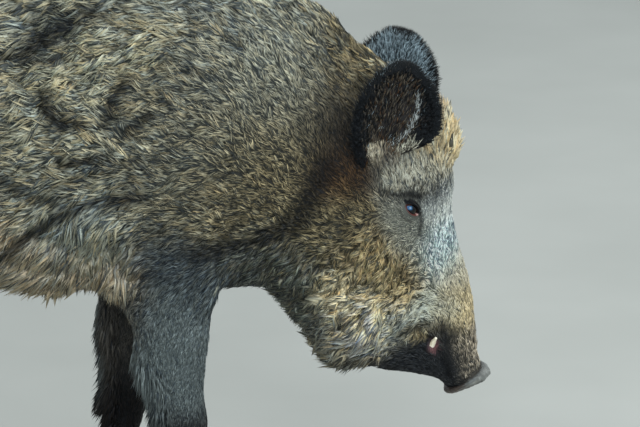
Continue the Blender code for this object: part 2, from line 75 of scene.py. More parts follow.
LEGS = tuple(
    f"{end}leg_{part}_{hand}"
    for end in ("fore", "hind")
    for part in ("upper", "lower")
    for hand in ("left", "right")
)
FLESH = ("trunk", "neck", "head", "tail", *LEGS)


def linear(code: str) -> tuple[float, float, float]:
    """Turn an sRGB hex colour into linear light.

    Args:
        code: the colour, such as "#806040".

    Returns:
        Red, green and blue in linear light.
    """
    parts = [int(code[i : i + 2], 16) / 255 for i in (1, 3, 5)]
    made = [c / 12.92 if c <= 0.04045 else ((c + 0.055) / 1.055) ** 2.4 for c in parts]
    return made[0], made[1], made[2]


def unit(rows: np.ndarray) -> np.ndarray:
    """Scale each row to length one."""
    return rows / np.maximum(np.linalg.norm(rows, axis=-1, keepdims=True), 1e-9)


def step(low: float, high: float, value: np.ndarray) -> np.ndarray:
    """Rise smoothly from 0 at low to 1 at high."""
    t = np.clip((value - low) / (high - low), 0.0, 1.0)
    return t * t * (3 - 2 * t)


class Ripple:
    """A smooth random field in space, made of plane waves of about one length."""

    def __init__(self, seed: int, wavelength: float, waves: int = 18) -> None:
        """Choose the waves.

        Args:
            seed: which field.
            wavelength: the size of its swells in metres.
            waves: how many plane waves are summed.
        """
        rng = np.random.default_rng(seed)
        ways = unit(rng.normal(size=(waves, 3)))
        lengths = wavelength * rng.uniform(0.6, 1.6, size=(waves, 1))
        self.ways = ways * 2 * math.pi / lengths
        self.starts = rng.uniform(0, 2 * math.pi, size=waves)
        self.gain = math.sqrt(2 / waves)

    def __call__(self, places: np.ndarray) -> np.ndarray:
        """The field at each place, mostly between -1 and 1."""
        return np.cos(places @ self.ways.T + self.starts).sum(axis=1) * self.gain * 0.6


# ---------------------------------------------------------------------------
# Materials


def add_node(tree: Any, kind: str, settings: dict[str, Any] | None = None, **inputs: Any) -> Any:
    """Add a shader node.

    Args:
        tree: the node tree.
        kind: the node's type name.
        settings: the node's own attributes, or a colour ramp's stops.
        **inputs: input names, with _ for a space, and what feeds each: a socket or a value.

    Returns:
        The node.
    """
    node = tree.nodes.new(kind)
    for key, value in (settings or {}).items():
        if key == "stops":
            set_stops(node.color_ramp.elements, value)
        else:
            setattr(node, key, value)
    for key, value in inputs.items():
        name = key.replace("_", " ").strip()
        socket = node.inputs[int(name) if name.isdigit() else name]
        if isinstance(value, bpy.types.NodeSocket):
            tree.links.new(value, socket)
        else:
            socket.default_value = value
    return node


def set_stops(elements: Any, stops: Sequence[tuple[float, str]]) -> None:
    """Give a new colour ramp its stops.

    Args:
        elements: the ramp's two elements.
        stops: two or more: each one's place and its sRGB hex colour.
    """
    while len(elements) < len(stops):
        elements.new(0.5)
    for element, (place, code) in zip(elements, stops):
        element.position = place
        element.color = (*linear(code), 1.0)


@dataclass(frozen=True)
class Finish:
    """A finish: how it is named, how rough it is and how it is dressed."""

    name: str
    roughness: float
    ior: float = 1.45
    specular: float = 0.5
    coat: float = 0.0

    def make(self) -> Any:
        """Build the material, its shader set and its pattern added.

        Returns:
            The material.
        """
        material = bpy.data.materials.new(self.name)
        material.use_nodes = True
        tree = material.node_tree
        shader = tree.nodes["Principled BSDF"]
        shader.inputs["Roughness"].default_value = self.roughness
        shader.inputs["IOR"].default_value = self.ior
        shader.inputs["Specular IOR Level"].default_value = self.specular
        shader.inputs["Coat Weight"].default_value = self.coat
        shader.inputs["Coat Roughness"].default_value = 0.06
        self.dress(tree, shader)
        return material

    def dress(self, tree: Any, shader: Any) -> None:
        """Add the pattern: each finish has its own.

        Args:
            tree: the node tree.
            shader: its Principled shader.
        """
        raise NotImplementedError

    @staticmethod
    def place(tree: Any, scale_mm: float) -> Any:
        """Object coordinates, in units of scale_mm."""
        coords = add_node(tree, "ShaderNodeTexCoord").outputs["Object"]
        scale = (1000 / scale_mm,) * 3
        return add_node(tree, "ShaderNodeMapping", Scale=scale, Vector=coords).outputs["Vector"]

    def grain(
        self, tree: Any, shader: Any, grain_mm: float, spread: tuple[float, ...], **noise: float
    ) -> Any:
        """Colour the shader from the mesh's "tint", uneven in value from grain to grain.

        Args:
            tree: the node tree.
            shader: its Principled shader.
            grain_mm: the size of a grain.
            spread: the noise from and to, and the values that it becomes.
            **noise: the noise's own settings, such as Detail.

        Returns:
            The noise's height socket.
        """
        tint = add_node(tree, "ShaderNodeAttribute", {"attribute_name": "tint"})
        uneven = add_node(
            tree, "ShaderNodeTexNoise", Scale=1.0, Vector=self.place(tree, grain_mm), **noise
        )
        names = ("From_Min", "From_Max", "To_Min", "To_Max")
        value = add_node(
            tree, "ShaderNodeMapRange", Value=uneven.outputs["Fac"], **dict(zip(names, spread))
        )
        tone = add_node(
            tree, "ShaderNodeHueSaturation", Color=tint.outputs["Color"],
            Value=value.outputs["Result"],
        )
        tree.links.new(tone.outputs["Color"], shader.inputs["Base Color"])
        return uneven.outputs["Fac"]

    @staticmethod
    def raise_by(tree: Any, shader: Any, height: Any, depth_mm: float) -> None:
        """Raise the surface by a pattern's height, from 0 to depth_mm."""
        raised = add_node(
            tree, "ShaderNodeBump", Strength=1.0, Height=height, Distance=depth_mm * MM
        )
        tree.links.new(raised.outputs["Normal"], shader.inputs["Normal"])

    @staticmethod
    def colour_by(tree: Any, shader: Any, source: Any, stops: Sequence[Any]) -> None:
        """Colour the surface by a pattern, 0 to 1, between a colour ramp's stops."""
        tone = add_node(tree, "ShaderNodeValToRGB", {"stops": stops}, Fac=source)
        tree.links.new(tone.outputs["Color"], shader.inputs["Base Color"])


@dataclass(frozen=True)
class Hair(Finish):
    """Keratin bristle and wool: satin, tinted root to tip by the coat's own chart."""

    def dress(self, tree: Any, shader: Any) -> None:
        """Tint from the tufts' attribute, uneven from hair to hair."""
        self.grain(tree, shader, 3.0, (0.0, 1.0, 0.72, 1.28), Detail=2.0)


@dataclass(frozen=True)
class Hide(Finish):
    """Skin under short fur: the chart's root tones, grained by flat hair too short for tufts."""

    def dress(self, tree: Any, shader: Any) -> None:
        """Tint from the chart, with a short-haired grain of about 2 mm."""
        stubble = self.grain(
            tree, shader, 2.2, (0.3, 0.7, 0.6, 1.4), Detail=4.0, Roughness=0.7
        )
        self.raise_by(tree, shader, stubble, 0.9)


@dataclass(frozen=True)
class BareSkin(Finish):
    """Bare pigmented skin of the nose disc: damp, pored, grey over brown."""

    def dress(self, tree: Any, shader: Any) -> None:
        """Mottled colour, and pores about 1.6 mm apart.

        Args:
            tree: the node tree.
            shader: its Principled shader.
        """
        self.grain(tree, shader, 7.0, (0.3, 0.7, 0.65, 1.25), Detail=5.0, Roughness=0.65)
        pores = add_node(
            tree, "ShaderNodeTexVoronoi", Scale=1.0, Vector=self.place(tree, 1.6)
        )
        self.raise_by(tree, shader, pores.outputs["Distance"], 0.35)


@dataclass(frozen=True)
class Lid(Finish):
    """Eyelid skin: its colour is painted on the lid, near-black above and red-brown below."""

    def dress(self, tree: Any, shader: Any) -> None:
        """Tint from the lid's own attribute, with fine wrinkles."""
        wrinkles = self.grain(tree, shader, 1.2, (0.0, 1.0, 0.7, 1.3), Detail=4.0)
        self.raise_by(tree, shader, wrinkles, 0.3)


@dataclass(frozen=True)
class Horn(Finish):
    """Keratin horn of a claw: dark, fibrous and scuffed pale towards the floor."""

    def dress(self, tree: Any, shader: Any) -> None:
        """Growth rings about 3 mm apart, and a dusty lower edge.

        Args:
            tree: the node tree.
            shader: its Principled shader.
        """
        coords = add_node(tree, "ShaderNodeTexCoord")
        parts = add_node(tree, "ShaderNodeSeparateXYZ", Vector=coords.outputs["Object"])
        scuffs = add_node(
            tree, "ShaderNodeTexNoise", Scale=1.0, Detail=6.0, Roughness=0.7,
            Vector=self.place(tree, 12.0),
        )
        rings = add_node(
            tree, "ShaderNodeTexWave", {"bands_direction": "Z"}, Scale=0.32, Distortion=1.5,
            Detail=2.0, Vector=self.place(tree, 3.0),
        )
        height = add_node(
            tree, "ShaderNodeMapRange", From_Max=0.03, To_Min=0.35, To_Max=0.0,
            Value=parts.outputs["Z"],
        )
        worn = add_node(
            tree, "ShaderNodeMath", {"operation": "ADD"}, _0=scuffs.outputs["Fac"],
            _1=height.outputs["Result"],
        )
        stops = ((0.30, "#171310"), (0.55, "#2e2621"), (0.80, "#5a4e43"), (1.0, "#7c6f60"))
        self.colour_by(tree, shader, worn.outputs["Value"], stops)
        self.raise_by(tree, shader, rings.outputs["Fac"], 0.25)


@dataclass(frozen=True)
class Ivory(Finish):
    """Tusk dentine and enamel: creamy, polished at the tip and stained at the root."""

    def dress(self, tree: Any, shader: Any) -> None:
        """Brown stains over cream, very slightly raised.

        Args:
            tree: the node tree.
            shader: its Principled shader.
        """
        stain = add_node(
            tree, "ShaderNodeTexNoise", Scale=1.0, Detail=4.0, Vector=self.place(tree, 6.0)
        )
        stops = ((0.25, "#a08d6c"), (0.42, "#d9d0b8"), (0.75, "#efeade"))
        self.colour_by(tree, shader, stain.outputs["Fac"], stops)
        self.raise_by(tree, shader, stain.outputs["Fac"], 0.08)


@dataclass(frozen=True)
class WetEye(Finish):
    """Eyeball under a wet cornea: a dark brown iris round a wide pupil."""

    def dress(self, tree: Any, shader: Any) -> None:
        """Rings of colour from the eye's own attribute: 0 at the pupil's middle, 1 at the back.

        Args:
            tree: the node tree.
            shader: its Principled shader.
        """
        out = add_node(tree, "ShaderNodeAttribute", {"attribute_name": "outwards"})
        fibres = add_node(
            tree, "ShaderNodeTexNoise", Scale=1.0, Detail=5.0, Vector=self.place(tree, 0.8)
        )
        spread = add_node(
            tree, "ShaderNodeMapRange", To_Min=-0.02, To_Max=0.02, Value=fibres.outputs["Fac"]
        )
        edge = add_node(
            tree, "ShaderNodeMath", {"operation": "ADD"}, _0=out.outputs["Fac"],
            _1=spread.outputs["Result"],
        )
        iris = ((0.155, "#050506"), (0.175, "#20130c"), (0.27, "#3a2214"), (0.31, "#140d09"))
        self.colour_by(tree, shader, edge.outputs["Value"], (*iris, (0.36, "#57453b")))


@dataclass(frozen=True)
class Ground(Finish):
    """Plain pale studio floor: matt and very slightly uneven."""

    def dress(self, tree: Any, shader: Any) -> None:
        """One pale grey with a faint cloud in it.

        Args:
            tree: the node tree.
            shader: its Principled shader.
        """
        cloud = add_node(
            tree, "ShaderNodeTexNoise", Scale=1.0, Detail=3.0, Vector=self.place(tree, 400.0)
        )
        stops = ((0.3, "#a3a6a2"), (0.7, "#aaada9"))
        self.colour_by(tree, shader, cloud.outputs["Fac"], stops)


# ---------------------------------------------------------------------------
# The chart of the coat


class Tone(Enum):
    """Hair tones: colour at the root, in the middle and at the tip."""

    NECK = ("#24241e", "#5a523c", "#a69a76")
    NECK_TOP = ("#383c39", "#7b7d6f", "#c4c4ae")
    SHOULDER = ("#323634", "#6c6b5b", "#c9c3a6")
    FLANK = ("#373d3a", "#818171", "#e1dcbc")
    TAN = ("#47473b", "#a19a80", "#eaebc7")
    CREST = ("#303737", "#797c70", "#c1c1b0")
    # Near-black: painted shade of the hollow behind the crest.
    HOLLOW = ("#0e1416", "#232d2f", "#4f5d59")
    FRINGE = ("#35434d", "#848c84", "#e5e9d6")
    FRINGE_TIP = ("#464239", "#9f927b", "#f1e1c0")
    CHEEK = ("#37321e", "#8d7b58", "#e1d09d")
    CREAM = ("#7b7e63", "#fff1c4", "#fff3d0")
    JOWL = ("#5a5b47", "#e9dca9", "#ffffff")
    BEARD = ("#30302b", "#7a7667", "#d1ccb3")
    THROAT = ("#282927", "#5c5c53", "#a5aa97")
    BUFF = ("#726b50", "#b9a980", "#f5e4b7")
    BUFF_PALE = ("#726d5b", "#bfb99f", "#ebe5cf")
    TEMPLE = ("#3e3f38", "#8a8778", "#bbbeae")
    GRIZZLE = ("#667878", "#bdd6d2", "#ffffff")
    GRIZZLE_PALE = ("#666d6b", "#b9c1b9", "#f8fcf4")
    BAND = ("#4d4f41", "#a0a290", "#d0d9d1")
    SOOT = ("#080a0b", "#1b1d1e", "#404243")
    MUZZLE = ("#2b2824", "#645f52", "#b5aa95")
    SLATE = ("#424b4c", "#656f6f", "#838d8e")
    SLATE_DARK = ("#1c2326", "#384144", "#646c6d")
    BLACK = ("#070505", "#14100c", "#2c231b")
    EAR_BACK = ("#191d21", "#404f56", "#97aab2")
    EAR_IN = ("#1a1611", "#3a3329", "#655e4f")
    EAR_LINE = ("#434645", "#7a8080", "#abb3b1")
    CROWN = ("#13151b", "#363c41", "#697282")
    UMBER = ("#030201", "#0b0401", "#1c0b02")
    UMBER_PALE = ("#110a03", "#311f0d", "#5b4021")
    EAR_BLACK = ("#020203", "#030404", "#0a0e0e")
    EYE_GREY = ("#4d4f47", "#7f8278", "#bcbeac")
    EYE_PALE = ("#7d8482", "#aab2ae", "#d2d8d0")

    @property
    def colours(self) -> np.ndarray:
        """The three colours, linear, one a row."""
        return np.array([linear(code) for code in self.value])


EYE_X, EYE_Z = 0.3012, 0.5108  # the eye's middle, placed like the patches
LIP_X, LIP_Z = 0.3325, 0.305  # the bare lip round the tusk
EAR_X, EAR_Y, EAR_Z = 0.253, 0.078, 0.572  # the left ear's root
TAIL_X, TAIL_HALF_WIDTH = -0.775, 0.03  # the tail is behind this x
TRUNK_AXIS_Z = 0.62
BEHIND_THE_FORELEGS_X = -0.33
LEG_PIVOT_Z = 0.62
FORELEG_SWINGS = (-0.118, 0.0)  # how far forwards the left foot and the right one are swung
HINDLEG_SWINGS = (0.055, -0.045)


def round_the_eye(x: np.ndarray, z: np.ndarray, half_slit: float, half_gap: float) -> np.ndarray:
    """How far places in side view are from the eye: 1 on an oval of this size along its slit."""
    along = (x - EYE_X) * 0.80 - (z - EYE_Z) * 0.60
    across = (x - EYE_X) * 0.60 + (z - EYE_Z) * 0.80
    return np.hypot(along / half_slit, across / half_gap)


def round_the_lip(x: np.ndarray, z: np.ndarray) -> np.ndarray:
    """How far places in side view are from the bare lip's middle: 1 on its edge."""
    return np.hypot((x - LIP_X) / 0.0125, (z - LIP_Z) / 0.0165)


def pleats(x: np.ndarray, z: np.ndarray) -> np.ndarray:
    """The lip's small upright pleats, 3 mm apart: -1 to 1."""
    return np.sin((x + 0.15 * z) / 0.0030 * 2 * math.pi)


@dataclass(frozen=True)
class Patch:
    """A patch of coat, placed in side view from the right forefoot's middle."""

    name: str
    x: float
    z: float
    reach_mm: float
    flow: tuple[float, float, float]  # x, outwards, z
    length_mm: float
    lift: float  # degrees off the skin
    depth_mm: float  # from the tips of the coat in to the skin
    tone: Tone
    thick: float = 1.0  # tufts to the square, against the trunk's
    width_mm: float = 1.7
    dark: float = 0.35  # share of tufts that are all bristle, dark to the tip
    clump: float = 0.35  # how far tips draw together into locks
    ruffle: float = 1.0  # how much neighbouring locks part


# Name, x, z, reach, flow, length, lift, depth and tone, then thickness, width, dark, clump, ruffle.
CHART: tuple[Patch, ...] = (
    # Mane and back.
    Patch("mane", -0.02, 0.88, 60, (-1.0, 0.0, 0.25), 37, 28, 26, Tone.FLANK, 0.9, 1.6, 0.4),
    Patch("mane_neck", 0.12, 0.82, 50, (-0.8, 0.0, 0.6), 28, 24, 19, Tone.NECK_TOP, 1.2, 1.09, 0.4),
    Patch("nape", 0.25, 0.72, 45, (-0.7, 0.0, 0.7), 24, 28, 12, Tone.NECK, 1.5, 0.85, 0.45, 0.25),
    Patch("crown", 0.335, 0.655, 32, (-0.45, 0.0, 0.9), 22, 30, 12, Tone.CROWN, 1.6, 0.81, 0.3, 0.2),
    Patch("back", -0.28, 0.86, 80, (-1.0, 0.05, 0.1), 40, 18, 16, Tone.FLANK, 0.7, 1.8),
    Patch("croup", -0.55, 0.82, 80, (-1.0, 0.05, -0.1), 34, 15, 12, Tone.FLANK, 0.7, 1.9),
    Patch("rump", -0.76, 0.70, 70, (-0.5, 0.1, -0.8), 30, 14, 10, Tone.CROWN, 0.7, 2.2),
    # Side of the trunk.
    # The hollow behind the crest takes a near-black tone, painted shade.
    Patch("hollow", -0.164, 0.761, 20, (-0.9, 0.0, -0.35), 19, 9, 15, Tone.HOLLOW, 1.2, 0.9, 0.6),
    Patch("crest_pale", -0.027, 0.798, 22, (-0.5, 0.1, 0.8), 35, 34, 17, Tone.CREST, 1.5, 0.88, 0.1, 0.5),
    Patch("crest_tan", -0.03, 0.742, 24, (-0.65, 0.1, -0.6), 30, 26, 15, Tone.TAN, 1.4, 0.88, 0.15, 0.5),
    Patch("crest_front", 0.010, 0.770, 40, (-0.8, 0.05, 0.35), 26, 20, 14, Tone.CREST,
          1.3, 0.83, 0.35, 0.4),
    Patch("lobe", -0.140, 0.708, 32, (-0.95, 0.05, -0.2), 25, 20, 13, Tone.TAN, 1.25, 0.88, 0.25, 0.5, 1.5),
    Patch("lobe_low", -0.110, 0.640, 34, (-0.9, 0.05, 0.25), 26, 19, 13, Tone.FLANK,
          1.2, 0.88, 0.35, 0.5, 1.6),
    Patch("shoulder", 0.0, 0.665, 50, (-0.95, 0.05, 0.3), 21, 17, 11, Tone.SHOULDER, 1.35, 0.78, 0.45, 0.4),
    Patch("shoulder_low", 0.0, 0.565, 42, (-0.95, 0.05, 0.05), 21, 17, 11, Tone.SHOULDER,
          1.35, 0.78, 0.4, 0.4),
    Patch("ribs", -0.25, 0.66, 70, (-1.0, 0.05, -0.15), 30, 18, 14, Tone.FLANK, 0.95, 0.97, 0.35, 0.4, 1.2),
    Patch("flank", -0.42, 0.62, 90, (-1.0, 0.05, -0.25), 34, 16, 13, Tone.FLANK, 0.75, 1.7),
    Patch("haunch", -0.62, 0.64, 80, (-0.8, 0.05, -0.6), 30, 14, 11, Tone.FLANK, 0.7, 1.9),
    Patch("ribs_low", -0.150, 0.578, 34, (-0.95, 0.1, -0.25), 30, 19, 15, Tone.FLANK, 1.2, 0.88, 0.35, 0.5),
    Patch("fringe_top", -0.130, 0.505, 30, (-0.25, 0.1, -0.95), 44, 22, 16, Tone.FRINGE,
          1.3, 0.94, 0.2, 0.5, 0.7),
    Patch("fringe", -0.130, 0.430, 34, (-0.25, 0.1, -0.97), 48, 24, 20, Tone.FRINGE_TIP,
          1.3, 0.94, 0.1, 0.5, 0.7),
    Patch("fringe_back", -0.23, 0.44, 40, (-0.65, 0.1, -0.75), 48, 22, 19, Tone.FRINGE_TIP,
          1.2, 1.09, 0.15, 0.5, 0.8),
    Patch("belly_edge", -0.115, 0.395, 24, (-0.5, 0.1, -0.85), 20, 18, 12, Tone.FRINGE_TIP, 1.2, 1.1, 0.3),
    Patch("fringe_rear", -0.40, 0.42, 60, (-0.6, 0.1, -0.8), 42, 20, 16, Tone.FRINGE, 0.8, 2.1, 0.2),
    Patch("groin", -0.52, 0.44, 40, (-0.5, 0.1, -0.85), 26, 14, 9, Tone.CROWN, 0.8, 2.0),
    # Neck.
    Patch("neck_top", 0.105, 0.700, 48, (-0.45, 0.05, 0.9), 17, 15, 9, Tone.NECK_TOP,
          1.7, 0.92, 0.42, 0.15, 0.7),
    Patch("neck_side", 0.100, 0.600, 45, (-0.75, 0.05, 0.65), 15, 17, 8, Tone.NECK,
          1.8, 0.92, 0.45, 0.2, 1.2),
    Patch("neck_low", 0.055, 0.525, 36, (-0.9, 0.05, 0.3), 17, 18, 9, Tone.NECK,
          1.7, 0.96, 0.42, 0.25, 1.2),
    Patch("behind_ear", 0.203, 0.625, 32, (-0.3, 0.05, 0.95), 13, 8, 5, Tone.UMBER,
          1.8, 0.96, 0.2, 0.1, 0.3),
    Patch("below_ear", 0.205, 0.560, 22, (-0.4, 0.05, 0.3), 13, 14, 6, Tone.UMBER_PALE,
          1.9, 0.96, 0.3, 0.3),
    Patch("throat_side", 0.095, 0.440, 26, (-0.55, 0.05, -0.85), 26, 14, 11, Tone.THROAT,
          1.4, 1.02, 0.45, 0.4),
    Patch("throat", 0.135, 0.370, 30, (-0.7, 0.0, -0.65), 30, 18, 12, Tone.THROAT, 1.2, 1.09, 0.4, 0.4),
    Patch("brisket", 0.060, 0.395, 30, (-0.6, 0.05, -0.8), 26, 14, 10, Tone.SLATE_DARK, 1.2, 1.02, 0.45),
    # Legs.
    Patch("upper_arm", 0.000, 0.452, 28, (-0.95, 0.0, -0.3), 20, 8, 6, Tone.SLATE_DARK,
          1.5, 0.9, 0.3, 0.3, 0.5),
    Patch("elbow", -0.075, 0.388, 20, (-0.75, 0.05, -0.65), 16, 13, 8, Tone.SLATE_DARK, 1.3, 1.2, 0.5, 0.4),
    Patch("foreleg_top", 0.01, 0.37, 36, (-0.25, 0.0, -1.0), 13, 5, 4, Tone.SLATE,
          1.9, 0.72, 0.12, 0.1, 0.3),
    Patch("forearm", 0.0, 0.28, 36, (-0.15, 0.0, -1.0), 12, 5, 3.5, Tone.SLATE, 1.9, 0.72, 0.12, 0.1, 0.3),
    Patch("knee", 0.0, 0.20, 30, (-0.1, 0.0, -1.0), 11, 8, 3, Tone.BLACK, 1.2, 1.4, 0.3, 0.2, 0.6),
    Patch("cannon", 0.0, 0.12, 30, (-0.15, 0.0, -1.0), 12, 9, 3, Tone.BLACK, 1.2, 1.4, 0.3, 0.2, 0.6),
    Patch("pastern", 0.0, 0.05, 22, (-0.05, 0.0, -1.0), 14, 14, 2.5, Tone.BLACK, 1.2, 1.4, 0.3, 0.2, 0.6),
    Patch("thigh", -0.66, 0.48, 60, (-0.45, 0.05, -0.9), 24, 13, 8, Tone.CROWN, 0.9, 1.8, 0.35),
    Patch("gaskin", -0.68, 0.36, 45, (-0.3, 0.0, -0.95), 16, 9, 5, Tone.BLACK, 1.0, 1.6, 0.35),
    Patch("hock", -0.72, 0.24, 35, (-0.1, 0.0, -1.0), 12, 8, 3.5, Tone.BLACK, 1.1, 1.5),
    Patch("hind_cannon", -0.70, 0.12, 35, (-0.15, 0.0, -1.0), 12, 8, 3, Tone.BLACK, 1.1, 1.5),
    Patch("hind_pastern", -0.68, 0.05, 24, (0.05, 0.0, -1.0), 14, 14, 2.5, Tone.BLACK, 1.1, 1.5),
    # Forehead and round the eye.
    Patch("forehead", 0.350, 0.595, 24, (0.75, 0.1, 0.65), 30, 42, 16, Tone.BUFF,
          3.4, 0.45, 0.05, 0.05, 0.7),
    Patch("temple", 0.292, 0.558, 18, (-0.1, 0.05, 1.0), 16.8, 18, 6, Tone.TEMPLE, 2.6, 0.60, 0.15, 0.2),
    Patch("ear_base", 0.274, 0.588, 12, (0.1, 0.05, 1.0), 15, 16, 6, Tone.UMBER_PALE, 2.4, 0.75, 0.3, 0.2),
    Patch("ear_tuft", 0.250, 0.590, 8, (0.2, 0.15, 1.0), 18, 22, 6, Tone.BUFF_PALE, 2.4, 0.75, 0.1, 0.3),
    Patch("brow", 0.318, 0.545, 13, (0.05, 0.05, 1.0), 11.2, 18, 4, Tone.TEMPLE, 2.8, 0.64, 0.4, 0.3),
    Patch("eye", 0.290, 0.500, 13, (-0.7, 0.05, 0.3), 5.6, 15, 1.5, Tone.EYE_GREY,
          3.0, 0.64, 0.2, 0.1, 0.5),
    Patch("upper_lid", 0.301, 0.526, 9, (0.1, 0.05, 1.0), 5.6, 16, 1.6, Tone.SOOT,
          3.0, 0.64, 0.3, 0.1, 0.5),
    Patch("eye_front", 0.333, 0.516, 10, (0.0, 0.05, 1.0), 6.7, 17, 2.0, Tone.SOOT, 3.0, 0.72, 0.6, 0.2),
    Patch("eye_pale", 0.3254, 0.503, 9, (0.0, 0.05, 1.0), 5.0, 15, 1.5, Tone.EYE_PALE,
          3.0, 0.64, 0.1, 0.1, 0.4),
    Patch("below_eye", 0.300, 0.470, 14, (-0.5, 0.05, -0.2), 7.8, 14, 2.4, Tone.EYE_GREY,
          2.9, 0.72, 0.3, 0.2),
    # Bridge and muzzle.
    Patch("stop", 0.348, 0.500, 15, (0.05, 0.1, 1.0), 9.0, 16, 2.8, Tone.GRIZZLE_PALE,
          2.9, 0.72, 0.2, 0.2, 0.8),
    Patch("bridge", 0.345, 0.440, 20, (-0.1, 0.1, 1.0), 9.5, 18, 3, Tone.GRIZZLE,
          2.9, 0.72, 0.45, 0.4, 1.3),
    Patch("bridge_edge", 0.372, 0.405, 16, (0.05, 0.1, 1.0), 10.1, 18, 3, Tone.BUFF_PALE,
          2.8, 0.72, 0.12, 0.25),
    Patch("bridge_low", 0.370, 0.350, 17, (-0.1, 0.15, 1.0), 10.1, 13, 3.2, Tone.BUFF,
          2.7, 0.80, 0.15, 0.25),
    Patch("nose_top", 0.390, 0.295, 17, (-0.1, 0.1, 1.0), 12.3, 12, 2.4, Tone.MUZZLE, 2.7, 0.68, 0.18, 0.3),
    Patch("band", 0.325, 0.362, 12, (-0.85, 0.1, 0.0), 15, 22, 4.5, Tone.BAND, 2.7, 0.75, 0.12, 0.45, 1.3),
    Patch("mouth_tuft", 0.309, 0.331, 7, (0.4, 0.1, -0.9), 10, 20, 3, Tone.CHEEK, 2.6, 0.9, 0.35, 0.4),
    Patch("band_front", 0.356, 0.352, 10, (-0.3, 0.2, 0.8), 12, 20, 4, Tone.BAND, 2.7, 1.0, 0.12, 0.4, 1.4),
    Patch("muzzle", 0.350, 0.318, 12, (-0.3, 0.1, 0.9), 11.2, 14, 3, Tone.SOOT, 2.6, 0.72, 0.3, 0.3),
    Patch("lip", 0.348, 0.275, 12, (-0.2, 0.1, 0.9), 6.2, 15, 1.8, Tone.SOOT, 2.6, 0.64, 0.3, 0.1, 0.5),
    Patch("lower_jaw", 0.295, 0.290, 18, (-0.95, 0.05, 0.0), 15, 14, 4.5, Tone.SOOT, 2.2, 1.1, 0.4, 0.4),
    Patch("chin", 0.335, 0.262, 12, (-0.8, 0.0, -0.1), 8, 12, 3, Tone.SOOT, 2.3, 1.0, 0.3),
    # Cheek and jowl.
    Patch("mouth_corner", 0.285, 0.345, 14, (-0.9, 0.05, -0.3), 20, 22, 6, Tone.BAND,
          2.3, 0.70, 0.25, 0.55, 1.4),
    Patch("cheek_front", 0.285, 0.415, 20, (-0.75, 0.05, -0.5), 15, 22, 6, Tone.CHEEK,
          2.4, 0.64, 0.35, 0.5, 2.2),
    Patch("cheek", 0.240, 0.440, 26, (-0.6, 0.05, -0.7), 19, 24, 8, Tone.CHEEK, 2.5, 0.70, 0.35, 0.55, 2.2),
    Patch("cheek_gold", 0.215, 0.405, 20, (-0.85, 0.05, -0.4), 24, 24, 9, Tone.CREAM,
          2.4, 0.75, 0.1, 0.55, 2.0),
    Patch("cheek_back", 0.200, 0.500, 24, (-0.45, 0.05, 0.2), 15, 18, 7, Tone.NECK,
          2.1, 0.70, 0.4, 0.4, 1.3),
    Patch("ruff", 0.240, 0.355, 24, (-0.8, 0.05, -0.6), 28, 24, 9, Tone.JOWL, 2.3, 0.75, 0.28, 0.5, 1.6),
    Patch("jowl_back", 0.160, 0.420, 20, (-0.6, 0.05, -0.75), 28, 18, 11, Tone.THROAT,
          1.7, 0.81, 0.35, 0.45),
    Patch("beard", 0.205, 0.305, 24, (-0.7, 0.05, -0.7), 34, 20, 12, Tone.BEARD, 1.8, 0.81, 0.3, 0.5),
)


@dataclass(frozen=True)
class Fold:
    """A fold or parting of the coat along a line, placed like the patches: the skin dips along it, and
    painted shade darkens the hair over it; along the tear's line the darkening is the tear's own dark
    streak.
    """

    name: str
    line: tuple[tuple[float, float], ...]
    half_width_mm: float
    sink_mm: float  # how far the skin dips along it
    shade: float  # what the hair's colours are multiplied by: the fold's painted shade
